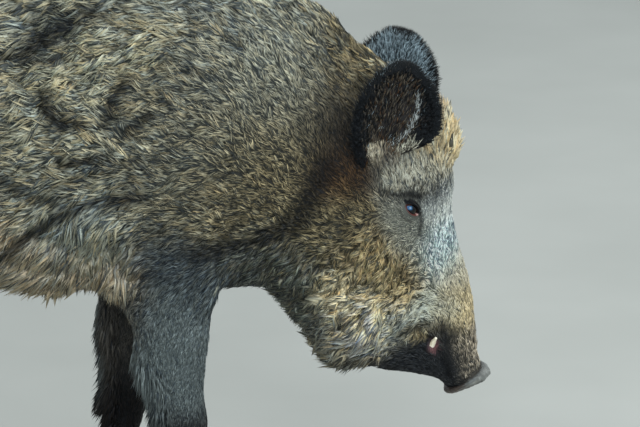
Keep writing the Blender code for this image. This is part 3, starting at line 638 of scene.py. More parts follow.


# Lines of painted shade in the coat's creases, pits and partings, and painted shadows by the lip and mouth;
# the tear is the dark streak below the eye.
FOLDS: tuple[Fold, ...] = (
    Fold("behind_the_crest", ((-0.208, 0.738), (-0.164, 0.761), (-0.114, 0.785)), 11, 8, 0.2),
    Fold("under_the_crest", ((-0.101, 0.644), (-0.092, 0.677), (-0.075, 0.699)), 7.5, 5, 0.14),
    Fold("rib_pit", ((-0.183, 0.688), (-0.177, 0.662), (-0.162, 0.644)), 7.5, 5, 0.1),
    Fold("rib_pit_low", ((-0.156, 0.648), (-0.131, 0.648)), 6, 4, 0.12),
    Fold("rib_fold", ((-0.162, 0.599), (-0.138, 0.596), (-0.109, 0.606)), 5.5, 3.5, 0.2),
    Fold("shoulder_edge", ((-0.075, 0.633), (-0.059, 0.647), (-0.043, 0.659)), 6, 3, 0.28),
    Fold("lobe_top", ((-0.245, 0.729), (-0.205, 0.728), (-0.165, 0.726)), 5.5, 3, 0.3),
    Fold("rib_line", ((-0.243, 0.580), (-0.210, 0.556), (-0.164, 0.542)), 5, 3, 0.34),
    Fold("arm_line", ((-0.164, 0.566), (-0.112, 0.580), (-0.059, 0.598)), 5, 2.5, 0.4),
    Fold("fringe_parting",
         ((-0.245, 0.456), (-0.203, 0.494), (-0.164, 0.523), (-0.111, 0.541), (-0.051, 0.546)),
         8, 5, 0.22),
    Fold("jowl", ((0.185, 0.577), (0.151, 0.510), (0.113, 0.484), (0.075, 0.468), (0.015, 0.462)),
         16, 6, 0.25),
    Fold("cheek_groove", ((0.208, 0.505), (0.205, 0.470), (0.222, 0.445)), 4, 2, 0.6),
    Fold("brow", ((0.263, 0.538), (0.280, 0.533), (0.296, 0.531), (0.312, 0.524)), 4.4, 4.5, 0.16),
    Fold("tear", ((0.3115, 0.501), (0.313, 0.486), (0.310, 0.472)), 3.4, 1.2, 0.24),
    Fold("lower_lid", ((0.284, 0.514), (0.288, 0.502), (0.299, 0.494)), 2.4, 0.8, 0.5),
    Fold("cheek_gap", ((0.218, 0.423), (0.234, 0.413), (0.250, 0.409)), 3.2, 2.5, 0.35),
    Fold("ruff_gap", ((0.202, 0.346), (0.221, 0.359), (0.239, 0.369)), 3.2, 2.5, 0.35),
    Fold("mouth_gap", ((0.281, 0.426), (0.290, 0.413), (0.302, 0.402)), 2.8, 2, 0.4),
    Fold("jowl_gap", ((0.175, 0.439), (0.197, 0.445), (0.215, 0.439)), 3.2, 2.5, 0.35),
    Fold("lip_shadow", ((0.345, 0.333), (0.351, 0.300), (0.354, 0.262)), 5.5, 0, 0.4),
    Fold("mouth_shadow", ((0.275, 0.322), (0.300, 0.335), (0.322, 0.342)), 6, 2, 0.4),
)


class Chart:
    """The coat's properties anywhere on the body, blended between the patches."""

    def __init__(self, origin_x: float) -> None:
        """Gather the patches into arrays.

        Args:
            origin_x: where the right forefoot's middle is in the frame.
        """
        self.origin_x = origin_x
        self.x = np.array([p.x for p in CHART])
        self.z = np.array([p.z for p in CHART])
        self.reach = np.array([p.reach_mm for p in CHART]) * MM
        self.flow = np.array([p.flow for p in CHART])
        self.tones = np.array([p.tone.colours for p in CHART])

    def side_view(self, places: np.ndarray) -> tuple[np.ndarray, np.ndarray]:
        """Each place's x, from the right forefoot's middle, and its z."""
        return places[:, 0] - self.origin_x, places[:, 2]

    def plain(self, places: np.ndarray) -> np.ndarray:
        """Places in side view, with each leg swung back to its plain stand.

        Args:
            places: points, one a row.

        Returns:
            Their x and z, one a row.
        """
        x, z = self.side_view(places)
        left, fore = places[:, 1] > 0, x > BEHIND_THE_FORELEGS_X
        swing = np.where(fore, np.where(left, *FORELEG_SWINGS), np.where(left, *HINDLEG_SWINGS))
        # The legs are what is low down, behind the hanging head.
        leg = step(0.40, 0.36, z) * step(0.14, 0.10, x)
        return np.column_stack([x - swing * (1 - z / LEG_PIVOT_Z) * leg, z])

    def weights(self, places: np.ndarray) -> np.ndarray:
        """How much each patch counts at each place.

        Args:
            places: points, one a row.

        Returns:
            One row a point and one column a patch; each row sums to one.
        """
        x, z = self.plain(places).T
        aside = (x[:, None] - self.x) / self.reach
        above = (z[:, None] - self.z) / self.reach
        nearness = -0.5 * (aside**2 + above**2)
        nearness -= nearness.max(axis=1, keepdims=True)
        made = np.exp(nearness).astype(np.float32)
        return made / made.sum(axis=1, keepdims=True)

    def number(self, weights: np.ndarray, name: str) -> np.ndarray:
        """A patch property, blended."""
        return weights @ np.array([getattr(p, name) for p in CHART], float)

    def folds(self, places: np.ndarray) -> tuple[np.ndarray, np.ndarray]:
        """What the folds do.

        Args:
            places: points, one a row.

        Returns:
            How far they sink the skin at each place, and their painted shade: what they multiply the hair's
            colours by.
        """
        flat = np.column_stack(self.side_view(places))
        sink, shade = np.zeros(len(places)), np.ones(len(places))
        for fold in FOLDS:
            gap = distance_to_line(flat, np.array(fold.line)) / (fold.half_width_mm * MM)
            near = np.exp(-(gap**2))
            sink += near * fold.sink_mm * MM
            shade *= 1 - near * (1 - fold.shade)
        return sink * step(0.02, 0.045, np.abs(places[:, 1])), shade

    def on_tail(self, places: np.ndarray, top: float) -> np.ndarray:
        """Which places are on the tail and below this height."""
        behind = places[:, 0] < self.origin_x + TAIL_X
        return behind & (np.abs(places[:, 1]) < TAIL_HALF_WIDTH) & (places[:, 2] < top)

    def flows(self, weights: np.ndarray, places: np.ndarray, normals: np.ndarray) -> np.ndarray:
        """The way the hair lies, along the skin.

        Args:
            weights: from weights().
            places: points on the skin.
            normals: the skin's normals there.

        Returns:
            Unit vectors along the skin.
        """
        ways = weights @ self.flow
        side = np.tanh(places[:, 1] / 0.02)
        ways[:, 1] *= side
        ways -= normals * (ways * normals).sum(axis=1, keepdims=True)
        return unit(ways)

    def colours(
        self, weights: np.ndarray, places: np.ndarray, normals: np.ndarray
    ) -> np.ndarray:
        """The coat's colours, with painted shade on the legs' inner sides and along the folds.

        Args:
            weights: from weights().
            places: points on the skin.
            normals: the skin's normals there.

        Returns:
            Places by root, middle and tip, by red, green and blue.
        """
        inner = step(0.0, 0.7, -normals[:, 1] * np.sign(places[:, 1]))
        inner = inner * step(0.43, 0.37, places[:, 2])  # the legs' inner sides are darkened with painted shade between the legs
        made = np.einsum("np,pkc->nkc", weights, self.tones)
        made *= 1 - inner[:, None, None] * (0.61, 0.70, 0.745)
        # The folds' painted shade.
        return made * self.folds(places)[1][:, None, None]


# ---------------------------------------------------------------------------
# Mesh helpers


def new_object(name: str, data: Any) -> Any:
    """Link a new object with this mesh, lamp or camera to the scene."""
    obj = bpy.data.objects.new(name, data)
    bpy.context.scene.collection.objects.link(obj)
    return obj


def only(obj: Any) -> None:
    """Make obj the one selected and active object."""
    bpy.ops.object.select_all(action="DESELECT")
    obj.select_set(True)
    bpy.context.view_layer.objects.active = obj


def apply_modifier(obj: Any, kind: str, **settings: Any) -> None:
    """Add a modifier and apply it.

    Args:
        obj: the object.
        kind: the modifier's type.
        **settings: its attributes.
    """
    only(obj)
    modifier = obj.modifiers.new(kind.lower(), kind)
    for key, value in settings.items():
        setattr(modifier, key, value)
    bpy.ops.object.modifier_apply(modifier=modifier.name)


def merged_copy(name: str, nodes: Sequence[str], swell: float = 0.0) -> Any:
    """Copies of CAD nodes, each welded and swollen, in one object.

    Args:
        name: the new object's name.
        nodes: the nodes to copy.
        swell: how far each copy's surface moves out, in metres.

    Returns:
        The object.
    """
    frame_nodes = {o.name: o for o in bpy.data.objects if o.type == "MESH"}
    whole = bmesh.new()
    for node in nodes:
        part = bmesh.new()
        part.from_mesh(frame_nodes[node].data)
        bmesh.ops.remove_doubles(part, verts=part.verts, dist=1e-5)
        part.normal_update()
        moves = [v.normal * swell for v in part.verts]
        for vertex, move in zip(part.verts, moves):
            vertex.co += move
        mesh = bpy.data.meshes.new("part")
        part.to_mesh(mesh)
        part.free()
        whole.from_mesh(mesh)
        bpy.data.meshes.remove(mesh)
    mesh = bpy.data.meshes.new(name)
    whole.to_mesh(mesh)
    whole.free()
    return new_object(name, mesh)


def points_of(mesh: Any) -> np.ndarray:
    """The mesh's vertices, one a row."""
    flat = np.empty(len(mesh.vertices) * 3)
    mesh.vertices.foreach_get("co", flat)
    return flat.reshape(-1, 3)


def normals_of(mesh: Any) -> np.ndarray:
    """The mesh's vertex normals, one a row."""
    flat = np.empty(len(mesh.vertices) * 3)
    mesh.vertex_normals.foreach_get("vector", flat)
    return flat.reshape(-1, 3)


def set_points(mesh: Any, places: np.ndarray) -> None:
    """Move the mesh's vertices."""
    mesh.vertices.foreach_set("co", places.ravel())
    mesh.update()


@contextmanager
def editing(mesh: Any) -> Iterator[Any]:
    """Open a mesh for editing, and store it again at the end.

    Args:
        mesh: the mesh.

    Yields:
        Its shape, to edit.
    """
    shape = bmesh.new()
    shape.from_mesh(mesh)
    yield shape
    shape.to_mesh(mesh)
    shape.free()


def face_outwards(mesh: Any) -> None:
    """Turn a closed mesh's faces outwards."""
    with editing(mesh) as shape:
        bmesh.ops.recalc_face_normals(shape, faces=shape.faces)


def paint(mesh: Any, colours: np.ndarray) -> None:
    """Store each vertex's colour as the mesh's "tint"."""
    layer = mesh.color_attributes.new(name="tint", type="FLOAT_COLOR", domain="POINT")
    rows = np.ones((len(colours), 4), np.float32)
    rows[:, :3] = colours
    layer.data.foreach_set("color", rows.ravel())


def triangles_of(mesh: Any) -> np.ndarray:
    """The mesh's triangles as vertex numbers."""
    mesh.calc_loop_triangles()
    flat = np.empty(len(mesh.loop_triangles) * 3, np.int32)
    mesh.loop_triangles.foreach_get("vertices", flat)
    return flat.reshape(-1, 3)


def finish_piece(obj: Any, finish: Any, replaced: Sequence[str] = ()) -> Any:
    """Dress a piece and say what it rides on and stands for.

    Args:
        obj: the piece.
        finish: its material.
        replaced: the CAD nodes that it stands for.

    Returns:
        The piece.
    """
    obj.data.materials.clear()
    obj.data.materials.append(finish)
    obj.data.shade_smooth()
    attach(obj, ROOT_BODY)
    if replaced:
        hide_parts(*replaced)
    LOG.info("%s: %d faces", obj.name, len(obj.data.polygons))
    return obj


# ---------------------------------------------------------------------------
# Ears


@dataclass
class EarShape:
    """The cupped leaf of an ear's skin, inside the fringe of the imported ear."""

    root: Vector
    along: Vector = field(default_factory=lambda: Vector((0.29, 0.20, 0.94)).normalized())
    opens: Vector = field(default_factory=lambda: Vector((0.22, 0.95, -0.20)))
    length: float = 0.132
    half_width: float = 0.0595
    wall: float = 0.0032
    curl: float = 0.014  # how far the tip bends back
    columns: int = 24
    # Up the ear: share of the length, share of the half width, half angle of the cup.
    leaf: tuple[tuple[float, float, float], ...] = (
        (-0.26, 0.40, 2.20),
        (-0.10, 0.50, 1.85),
        (0.00, 0.62, 1.58),
        (0.14, 0.82, 1.32),
        (0.32, 0.98, 1.05),
        (0.50, 1.00, 0.88),
        (0.68, 0.91, 0.74),
        (0.84, 0.68, 0.60),
        (0.95, 0.38, 0.48),
        (1.00, 0.12, 0.40),
    )

    def axes(self) -> tuple[Vector, Vector, Vector]:
        """The ear's own directions.

        Returns:
            Up the ear, out of its opening, and across it to the front edge.
        """
        opens = (self.opens - self.along * self.opens.dot(self.along)).normalized()
        across = self.along.cross(opens)
        if across.x < 0:
            across = -across
        return self.along, opens, across

    def rows(self) -> list[tuple[float, float, float]]:
        """Smooth the leaf's outline.

        Returns:
            The leaf's rows with three more between each two, on a smooth curve.
        """
        given = np.array(self.leaf)
        ends = np.vstack([2 * given[0] - given[1], given, 2 * given[-1] - given[-2]])
        made = []
        for a, b, c, d in zip(ends[:-3], ends[1:-2], ends[2:-1], ends[3:]):
            for k in range(4):
                t = k / 4
                bend = (2 * a - 5 * b + 4 * c - d) * t**2 + (3 * b - a - 3 * c + d) * t**3
                made.append(tuple(b + 0.5 * ((c - a) * t + bend)))
        made.append(tuple(given[-1]))
        return made

    def grid(self, side: int) -> np.ndarray:
        """Lay out the leaf's middle surface.

        Args:
            side: 1 for the left ear and -1 for the right.

        Returns:
            Points: rows up the ear by columns from back edge to front.
        """
        along, opens, across = self.axes()
        rows = []
        for up, share, angle in self.rows():
            radius = self.half_width * share / angle
            middle = self.root + along * (self.length * up) - opens * (self.curl * up * abs(up))
            row = []
            front = 0.5 + 0.5 * float(step(0.08, 0.45, np.array(up)))  # low down it joins the brow
            for k in range(self.columns + 1):
                turn = (2 * k / self.columns - 1) * angle
                turn *= front if turn > 0 else 1.0
                place = middle + across * (radius * math.sin(turn))
                place += opens * (radius * (1 - math.cos(turn)))
                row.append((place.x, side * place.y, place.z))
            rows.append(row)
        return np.array(rows)

    def build(self, name: str, side: int) -> Any:
        """The ear's skin as a closed shell.

        Args:
            name: the object's name.
            side: 1 for the left ear and -1 for the right.

        Returns:
            The object.
        """
        grid = self.grid(side)
        rows, columns = grid.shape[:2]
        mesh = bpy.data.meshes.new(name)
        starts = [r * columns + c for r in range(rows - 1) for c in range(columns - 1)]
        faces = [(i, i + 1, i + columns + 1, i + columns) for i in starts]
        mesh.from_pydata(grid.reshape(-1, 3).tolist(), [], faces)
        obj = new_object(name, mesh)
        apply_modifier(obj, "SOLIDIFY", thickness=self.wall, offset=0.0)
        face_outwards(obj.data)
        return obj


# ---------------------------------------------------------------------------
# Skin


TUSK_X = 0.3270
MOUTH_LINE = np.array([(0.352, 0.258), (0.343, 0.286), (0.330, 0.314), (0.311, 0.341)])
LIP_LINE = np.array([(0.361, 0.262), (0.352, 0.290), (0.340, 0.318), (0.322, 0.345)])


@dataclass
class Skin:
    """One closed skin over trunk, neck, head, legs and tail, with the ears joined to it."""

    chart: Chart
    voxel: float = 0.0076
    swell: float = 0.0006
    tail_depth: float = 0.005
    dewclaw_mound: float = 0.014  # its reach
    dewclaw_rise: float = 0.006
    mouth_depth: float = 0.0045
    mouth_width: float = 0.0028
    lip_rise: float = 0.0025
    lip_width: float = 0.006
    tusk_rise: float = 0.0058
    tusk_reach: float = 0.0080
    pleat_rise: float = 0.0004
    socket_depth: float = 0.0045
    wrinkle_rise: float = 0.0005
    wrinkle_spacing: float = 0.0075
    end_in_disc: float = 0.0125  # behind the disc's face

    def build(self) -> Any:
        """Make the body's skin.

        Returns:
            The skin object, not yet painted.
        """
        skin = merged_copy("skin", FLESH + ("eye_left", "eye_right", "snout"), self.swell)
        apply_modifier(skin, "REMESH", mode="VOXEL", voxel_size=self.voxel)
        apply_modifier(skin, "SMOOTH", factor=0.5, iterations=10)
        self.sink(skin)
        apply_modifier(skin, "SMOOTH", factor=0.5, iterations=4)
        self.refine_face(skin)
        self.sculpt(skin)
        self.stop_at_disc(skin)
        return skin

    def sink(self, skin: Any) -> None:
        """Set the skin in from the tips of the coat, with soft folds under the long coat.

        Args:
            skin: the skin, at the coat's outline.
        """
        places, normals = points_of(skin.data), normals_of(skin.data)
        weights = self.chart.weights(places)
        depth = self.chart.number(weights, "depth_mm") * MM
        fold = Ripple(11, 0.085)(places) + 0.5 * Ripple(12, 0.04)(places)
        depth *= 1 + 0.22 * fold
        depth += self.chart.folds(places)[0]
        depth[self.chart.on_tail(places, 0.68)] = self.tail_depth
        # The dewclaws grow out of low mounds.
        for end, hand, where in product(("fore", "hind"), ("left", "right"), ("inner", "outer")):
            low, high = (np.array(corner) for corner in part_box(f"dewclaw_{end}_{hand}_{where}"))
            root = np.array([*(low[:2] + high[:2]) / 2, high[2] - self.dewclaw_rise])
            away = np.linalg.norm(places - root, axis=1)
            depth -= (depth + self.dewclaw_rise) * np.exp(-((away / self.dewclaw_mound) ** 2))
        set_points(skin.data, places - normals * depth[:, None])

    def refine_face(self, skin: Any) -> None:
        """Divide the faces of the head, and again on the muzzle and round the eyes.

        Args:
            skin: the skin.
        """
        for finest in (False, True):
            x, z = self.chart.side_view(points_of(skin.data))
            face = (x > 0.20) & (z > 0.2) & (z < 0.62)
            if finest:
                face &= (x > 0.275) & (z < 0.40) | (np.hypot(x - 0.303, z - 0.5) < 0.035)
            with editing(skin.data) as shape:
                chosen = [e for e in shape.edges if all(face[v.index] for v in e.verts)]
                bmesh.ops.subdivide_edges(shape, edges=chosen, cuts=1, use_grid_fill=True)
                bmesh.ops.triangulate(shape, faces=[f for f in shape.faces if len(f.verts) > 4])
            apply_modifier(skin, "SMOOTH", factor=0.4, iterations=2)

    def sculpt(self, skin: Any) -> None:
        """Model the mouth's line, the lips, the eye's socket and the wrinkles of the snout.

        Args:
            skin: the skin.
        """
        places, normals = points_of(skin.data), normals_of(skin.data)
        x, z = self.chart.side_view(places)
        flat = np.column_stack([x, z])
        on_side = np.abs(places[:, 1]) > 0.008
        move = np.zeros(len(places))
        near = np.exp(-((distance_to_line(flat, MOUTH_LINE) / self.mouth_width) ** 2))
        move -= self.mouth_depth * near * on_side
        move += self.lip_rise * np.exp(-((distance_to_line(flat, LIP_LINE) / self.lip_width) ** 2))
        # The lower lip swells round the root of the tusk, in small upright pleats.
        away = np.hypot(x - TUSK_X, z - LIP_Z)
        move += self.tusk_rise * np.exp(-((away / self.tusk_reach) ** 2)) * on_side
        away = np.hypot(x - LIP_X, z - LIP_Z)
        move += self.pleat_rise * pleats(x, z) * np.exp(-((away / 0.011) ** 2)) * on_side
        # A socket keeps the skin behind the eyeball.
        move -= self.socket_depth * step(1.15, 0.75, round_the_eye(x, z, 0.0115, 0.0070))
        move += self.wrinkles(places)
        set_points(skin.data, places + normals * move[:, None])

    def wrinkles(self, places: np.ndarray) -> np.ndarray:
        """How high the wrinkles stand across the top of the snout, behind the disc.

        Args:
            places: points on the skin.

        Returns:
            Heights.
        """
        x, z = self.chart.side_view(places)
        along = (x - 0.39) * 0.10 - (z - 0.34) * 0.995
        on_snout = step(0.33, 0.36, x) * step(0.02, 0.05, along)
        along = along + 0.002 * Ripple(13, 0.02)(places)
        waves = np.sin(along / self.wrinkle_spacing * 2 * math.pi)
        return self.wrinkle_rise * waves * on_snout

    def stop_at_disc(self, skin: Any) -> None:
        """End the muzzle's skin flat inside the nose disc.

        Args:
            skin: the skin.
        """
        places = points_of(skin.data)
        centre, forward = disc_axis(self.chart.origin_x)
        ahead = (places - centre) @ forward
        past = np.maximum(ahead + self.end_in_disc, 0.0)
        set_points(skin.data, places - past[:, None] * forward)

    def dress(self, skin: Any) -> None:
        """Paint the skin with the coat's own tones and their painted shade, darkest under the long coat.

        Args:
            skin: the skin.
        """
        places = points_of(skin.data)
        weights = self.chart.weights(places)
        colours = self.chart.colours(weights, places, normals_of(skin.data))
        root, middle = colours[:, 0], colours[:, 1]
        short = step(20.0, 6.0, self.chart.number(weights, "length_mm"))[:, None]
        # Under the long coat the skin takes the root tone dimmed to 0.8, painted shade of the coat over it.
        tint = root * (1 - short) * 0.8 + short * (0.5 * root + 0.3 * middle)
        x, z = self.chart.plain(places).T
        away = round_the_lip(x, z)
        flesh = (step(1.15, 0.5, away) * (np.abs(places[:, 1]) > 0.015))[:, None]
        inner = step(0.9, 0.2, away)[:, None]
        lips = np.array(linear("#33282a")) * (1 - inner) + np.array(linear("#644546")) * inner
        # Painted light and shade on the lip's pleats: paler on their ridges and darker in their grooves.
        shaded = lips * np.exp(0.35 * pleats(x, z))[:, None]
        paint(skin.data, tint * (1 - flesh) + flesh * shaded)

    @staticmethod
    def tree(skin: Any) -> BVHTree:
        """Gather the skin's faces, for finding how far out it is.

        Args:
            skin: the skin.

        Returns:
            A tree of its faces.
        """
        shape = bmesh.new()
        shape.from_mesh(skin.data)
        made = BVHTree.FromBMesh(shape)
        shape.free()
        return made


def disc_axis(origin_x: float) -> tuple[np.ndarray, np.ndarray]:
    """The middle of the nose disc's face, and the way it faces."""
    forward = np.array((0.53, 0.0, -0.848))
    return np.array((origin_x + 0.382, 0.0, 0.238)), forward / np.linalg.norm(forward)


def distance_to_line(places: np.ndarray, line: np.ndarray) -> np.ndarray:
    """Each point's distance from a line of straight stretches.

    Args:
        places: points in the plane.
        line: the line's points.

    Returns:
        The distances.
    """
    best = np.full(len(places), 9.0)
    for one, two in zip(line[:-1], line[1:]):
        run = two - one
        share = np.clip(((places - one) @ run) / (run @ run), 0, 1)
        gap = np.linalg.norm(places - one - share[:, None] * run, axis=1)
        best = np.minimum(best, gap)
    return best


# ---------------------------------------------------------------------------
# Coat


class Region(IntEnum):
    """The coat's pieces. Each is a stretch of the body on one side."""

    TRUNK_REAR = 0
    TRUNK_MIDDLE = 1
    SHOULDER = 2
    NECK = 3
    HEAD = 4
    FACE = 5
    FORELEG = 6
    HINDLEG = 7


TUFT_FACES = np.array([(0, 1, 2), (1, 3, 2), (0, 3, 1), (0, 2, 3)], np.int32)
TUFT_SPREAD = np.array([(0.0, 0.0), (-0.5, 0.45), (0.5, 0.45), (0.0, 1.0)])
PATCH_UV = 0.003
MIDDLE_SHARE = 0.42  # where a tuft is widest and bends
LOCK_SIZE = 14  # tufts to a lock
PALEST = 0.86  # linear light: no hair is whiter


@dataclass
class Tufts:
    """Roots and shapes of many tufts, ready to become a mesh."""

    root: np.ndarray
    middle: np.ndarray
    tip: np.ndarray
    side: np.ndarray  # half the width, across the tuft
    over: np.ndarray  # half the thickness, off the skin
    tint: np.ndarray  # colours at root, middle and tip
    sheet: np.ndarray  # place on the unwrap, 0 to 1

    def some(self, chosen: np.ndarray, sheet: np.ndarray) -> Tufts:
        """The chosen tufts alone, with their places on the unwrap."""
        kept = {part.name: getattr(self, part.name)[chosen] for part in fields(self)}
        return Tufts(**{**kept, "sheet": sheet})

    @staticmethod
    def joined(sets: Sequence[Tufts]) -> Tufts:
        """Sets of tufts as one."""
        names = [part.name for part in fields(Tufts)]
        return Tufts(*(np.concatenate([getattr(one, name) for one in sets]) for name in names))

    def mesh(self, name: str) -> Any:
        """Build one mesh of closed, leaf-shaped tufts.

        Args:
            name: the object's name.

        Returns:
            The object, with its tint and its OFBake map.
        """
        count = len(self.root)
        corners = np.empty((count, 4, 3))
        corners[:, 0] = self.root
        corners[:, 1] = self.middle - self.side + self.over
        corners[:, 2] = self.middle + self.side + self.over
        corners[:, 3] = self.tip
        faces = (np.arange(count)[:, None, None] * 4 + TUFT_FACES).reshape(-1, 3)
        mesh = bpy.data.meshes.new(name)
        mesh.vertices.add(count * 4)
        mesh.loops.add(len(faces) * 3)
        mesh.polygons.add(len(faces))
        mesh.vertices.foreach_set("co", corners.ravel())
        mesh.loops.foreach_set("vertex_index", faces.ravel())
        mesh.polygons.foreach_set("loop_start", np.arange(0, len(faces) * 3, 3, dtype=np.int32))
        mesh.polygons.foreach_set("loop_total", np.full(len(faces), 3, np.int32))
        mesh.update(calc_edges=True)
        paint(mesh, self.tint[:, (0, 1, 1, 2)].reshape(-1, 3))
        spots = self.sheet[:, None] * (1 - 1.5 * PATCH_UV) + (TUFT_SPREAD + (0.5, 0.2)) * PATCH_UV
        layer = mesh.uv_layers.new(name="OFBake")
        layer.data.foreach_set("uv", spots.reshape(-1, 2)[faces.ravel()].ravel())
        return new_object(name, mesh)


@dataclass
class Coat:
    """Tufts all over the skin, longer, denser and more lifted as the chart says."""

    chart: Chart
    seed: int = 20

    def roots(self, mesh: Any, total: int) -> tuple[np.ndarray, np.ndarray]:
        """Scatter roots over the skin, evenly for the chart's thickness.

        Args:
            mesh: the skin.
            total: how many roots.

        Returns:
            Their places and the skin's normals there.
        """
        rng = np.random.default_rng(self.seed)
        points, normals, faces = points_of(mesh), normals_of(mesh), triangles_of(mesh)
        one, two, three = (points[faces[:, k]] for k in range(3))
        area = np.linalg.norm(np.cross(two - one, three - one), axis=1) / 2
        middle = (one + two + three) / 3
        worth = area * self.chart.number(self.chart.weights(middle), "thick")
        run = np.cumsum(worth)
        order = (np.arange(total) + rng.random(total)) / total * run[-1]
        chosen = np.minimum(np.searchsorted(run, order), len(faces) - 1)
        a, b = rng.random((2, total))
        flip = a + b > 1
        a[flip], b[flip] = 1 - a[flip], 1 - b[flip]
        share = np.stack([1 - a - b, a, b], axis=1)[:, :, None]
        places = (points[faces[chosen]] * share).sum(axis=1)
        return places, unit((normals[faces[chosen]] * share).sum(axis=1))

    def locks(self, places: np.ndarray, rng: np.random.Generator) -> np.ndarray:
        """Share the tufts out among locks.

        Args:
            places: the roots.
            rng: chooses the tufts that lead a lock.

        Returns:
            For each tuft, the number of the tuft that leads its lock.
        """
        leads = np.flatnonzero(rng.random(len(places)) < 1 / LOCK_SIZE)
        tree = KDTree(len(leads))
        for k in leads:
            tree.insert(places[k], int(k))
        tree.balance()
        return np.array([tree.find(place)[1] for place in places])

    def shape(self, places: np.ndarray, normals: np.ndarray) -> Tufts:
        """Give each root its tuft.

        Args:
            places: the roots.
            normals: the skin's normals there.

        Returns:
            The tufts. Their places on the unwrap are filled in later.
        """
        rng = np.random.default_rng(self.seed + 1)
        count = len(places)
        weights = self.chart.weights(places)
        flow = self.chart.flows(weights, places, normals)
        cross = np.cross(normals, flow)
        length = self.chart.number(weights, "length_mm") * MM
        lift = np.radians(self.chart.number(weights, "lift"))
        width = self.chart.number(weights, "width_mm") * MM
        clump = self.chart.number(weights, "clump")
        ruffle = self.chart.number(weights, "ruffle")
        lead = self.locks(places, rng)

        # Feathering: longer bristles stand out behind the legs.
        behind = self.behind_the_legs(places, normals)
        length *= 1 + 2.3 * behind
        width *= 1 - 0.35 * behind
        lift += 0.5 * behind
        # The tail's hair hangs close in fine strands.
        tail = self.chart.on_tail(places, 0.70)
        lift[tail] *= 0.7
        width[tail] *= 0.6
        clump[tail] *= 0.3

        # Neighbours lean together, so the coat parts into waves, locks and hollows.
        wave = 0.28 * Ripple(21, 0.05)(places) + 0.22 * Ripple(22, 0.02)(places)
        lean = (wave + rng.normal(0, 0.20, count)[lead]) * ruffle + rng.normal(0, 0.17, count)
        rise = 0.5 * Ripple(23, 0.055)(places) + 0.3 * Ripple(24, 0.02)(places)
        rise += rng.normal(0, 0.35, count)[lead]
        lift = np.clip(lift * (1 + 0.5 * rise * ruffle) + rng.normal(0, 0.07, count), 0.03, 1.0)
        length = length * (1 + 0.12 * np.clip(rise, -1.5, 1.5)) * rng.uniform(0.6, 1.2, count)
        width = width * rng.uniform(0.7, 1.25, count)

        way = unit(flow + cross * lean[:, None])
        first = way * np.cos(lift)[:, None] + normals * np.sin(lift)[:, None]
        curl = rng.normal(0, 0.22, count) + rng.normal(0, 0.30, count)[lead] * ruffle
        laid = lift * 0.25 + 0.35 * behind
        second = unit(way + cross * curl[:, None])
        second = second * np.cos(laid)[:, None] + normals * np.sin(laid)[:, None]
        second[:, 2] -= 0.10 * step(14.0, 34.0, length / MM)
        root = places - normals * 0.0003
        middle = root + first * (length * MIDDLE_SHARE)[:, None]
        tip = middle + unit(second) * (length * (1 - MIDDLE_SHARE))[:, None]

        # Tips draw together sideways, towards the tip that leads the lock.
        gap = tip[lead] - tip
        gap -= way * (gap * way).sum(axis=1, keepdims=True)
        gap *= np.minimum(1, 0.012 / np.maximum(np.linalg.norm(gap, axis=1), 1e-6))[:, None]
        tip = tip + gap * clump[:, None]
        middle = middle + gap * (clump * 0.35)[:, None]
        side = unit(np.cross(normals, way)) * (width / 2)[:, None]
        over = normals * (width * 0.25)[:, None]
        colours = self.chart.colours(weights, places, normals)
        tint = self.tints(weights, places, colours, lead, rng)
        # The folds' painted shade is also taken along each hair's middle and tip, darkest where it crosses
        # a fold.
        here = self.chart.folds(places)[1]
        tint[:, 1] *= (self.darkest(root, middle, (0.7, 1.0)) / here)[:, None]
        tint[:, 2] *= (self.darkest(middle, tip, (0.25, 0.6, 1.0)) / here)[:, None]
        return Tufts(root, middle, tip, side, over, tint, places[:, :2])

    def behind_the_legs(self, places: np.ndarray, normals: np.ndarray) -> np.ndarray:
        """How much each root is on the back of a leg, between hoof and body: 0 to 1."""
        x, z = self.chart.side_view(places)
        backwards = step(0.2, 0.8, -normals[:, 0])
        return backwards * step(0.35, 0.31, z) * step(0.08, 0.16, z) * (x < 0.07)

    def darkest(self, start: np.ndarray, end: np.ndarray, shares: Sequence[float]) -> np.ndarray:
        """The darkest painted shade of a fold that each hair crosses.

        Args:
            start: where the stretches of hair start.
            end: where they end.
            shares: how far along them to look.

        Returns:
            What to multiply the hairs' colours by.
        """
        shades = [self.chart.folds(start + (end - start) * share)[1] for share in shares]
        return np.min(shades, axis=0)

    def tints(
        self,
        weights: np.ndarray,
        places: np.ndarray,
        colours: np.ndarray,
        lead: np.ndarray,
        rng: np.random.Generator,
    ) -> np.ndarray:
        """Colours of each tuft at root, middle and tip, uneven from tuft to tuft, with painted light and
        shade of the coat's rises and partings and a painted blue sheen on the dark bristles.

        Args:
            weights: of the chart's patches.
            places: the roots.
            colours: the chart's colours there.
            lead: which tuft leads each one's lock.
            rng: for what differs from tuft to tuft.

        Returns:
            Colours: tufts by root, middle, tip by red, green, blue.
        """
        count = len(places)
        bristle = rng.random(count) < self.chart.number(weights, "dark")
        # Painted light and shade: middles and tips are paler where the coat rises and darker where it lies
        # low (the rise field of shape()), and they differ from lock to lock.
        rise_shade_and_lock_tone = 0.6 * Ripple(23, 0.055)(places) + 0.5 * Ripple(32, 0.02)(places)
        rise_shade_and_lock_tone += rng.normal(0, 0.35, count)[lead]
        length_mm = self.chart.number(weights, "length_mm")
        swell = Ripple(35, 0.045)(places) * step(14.0, 24.0, length_mm)
        tip = np.exp(0.26 * rise_shade_and_lock_tone + 0.16 * swell + rng.normal(0, 0.38, count)) * 1.05
        tip[bristle] *= 0.17
        middle = np.exp(0.22 * rise_shade_and_lock_tone + 0.16 * swell + rng.normal(0, 0.25, count))
        middle[bristle] *= 0.28
        root = np.exp(rng.normal(0, 0.15, count))
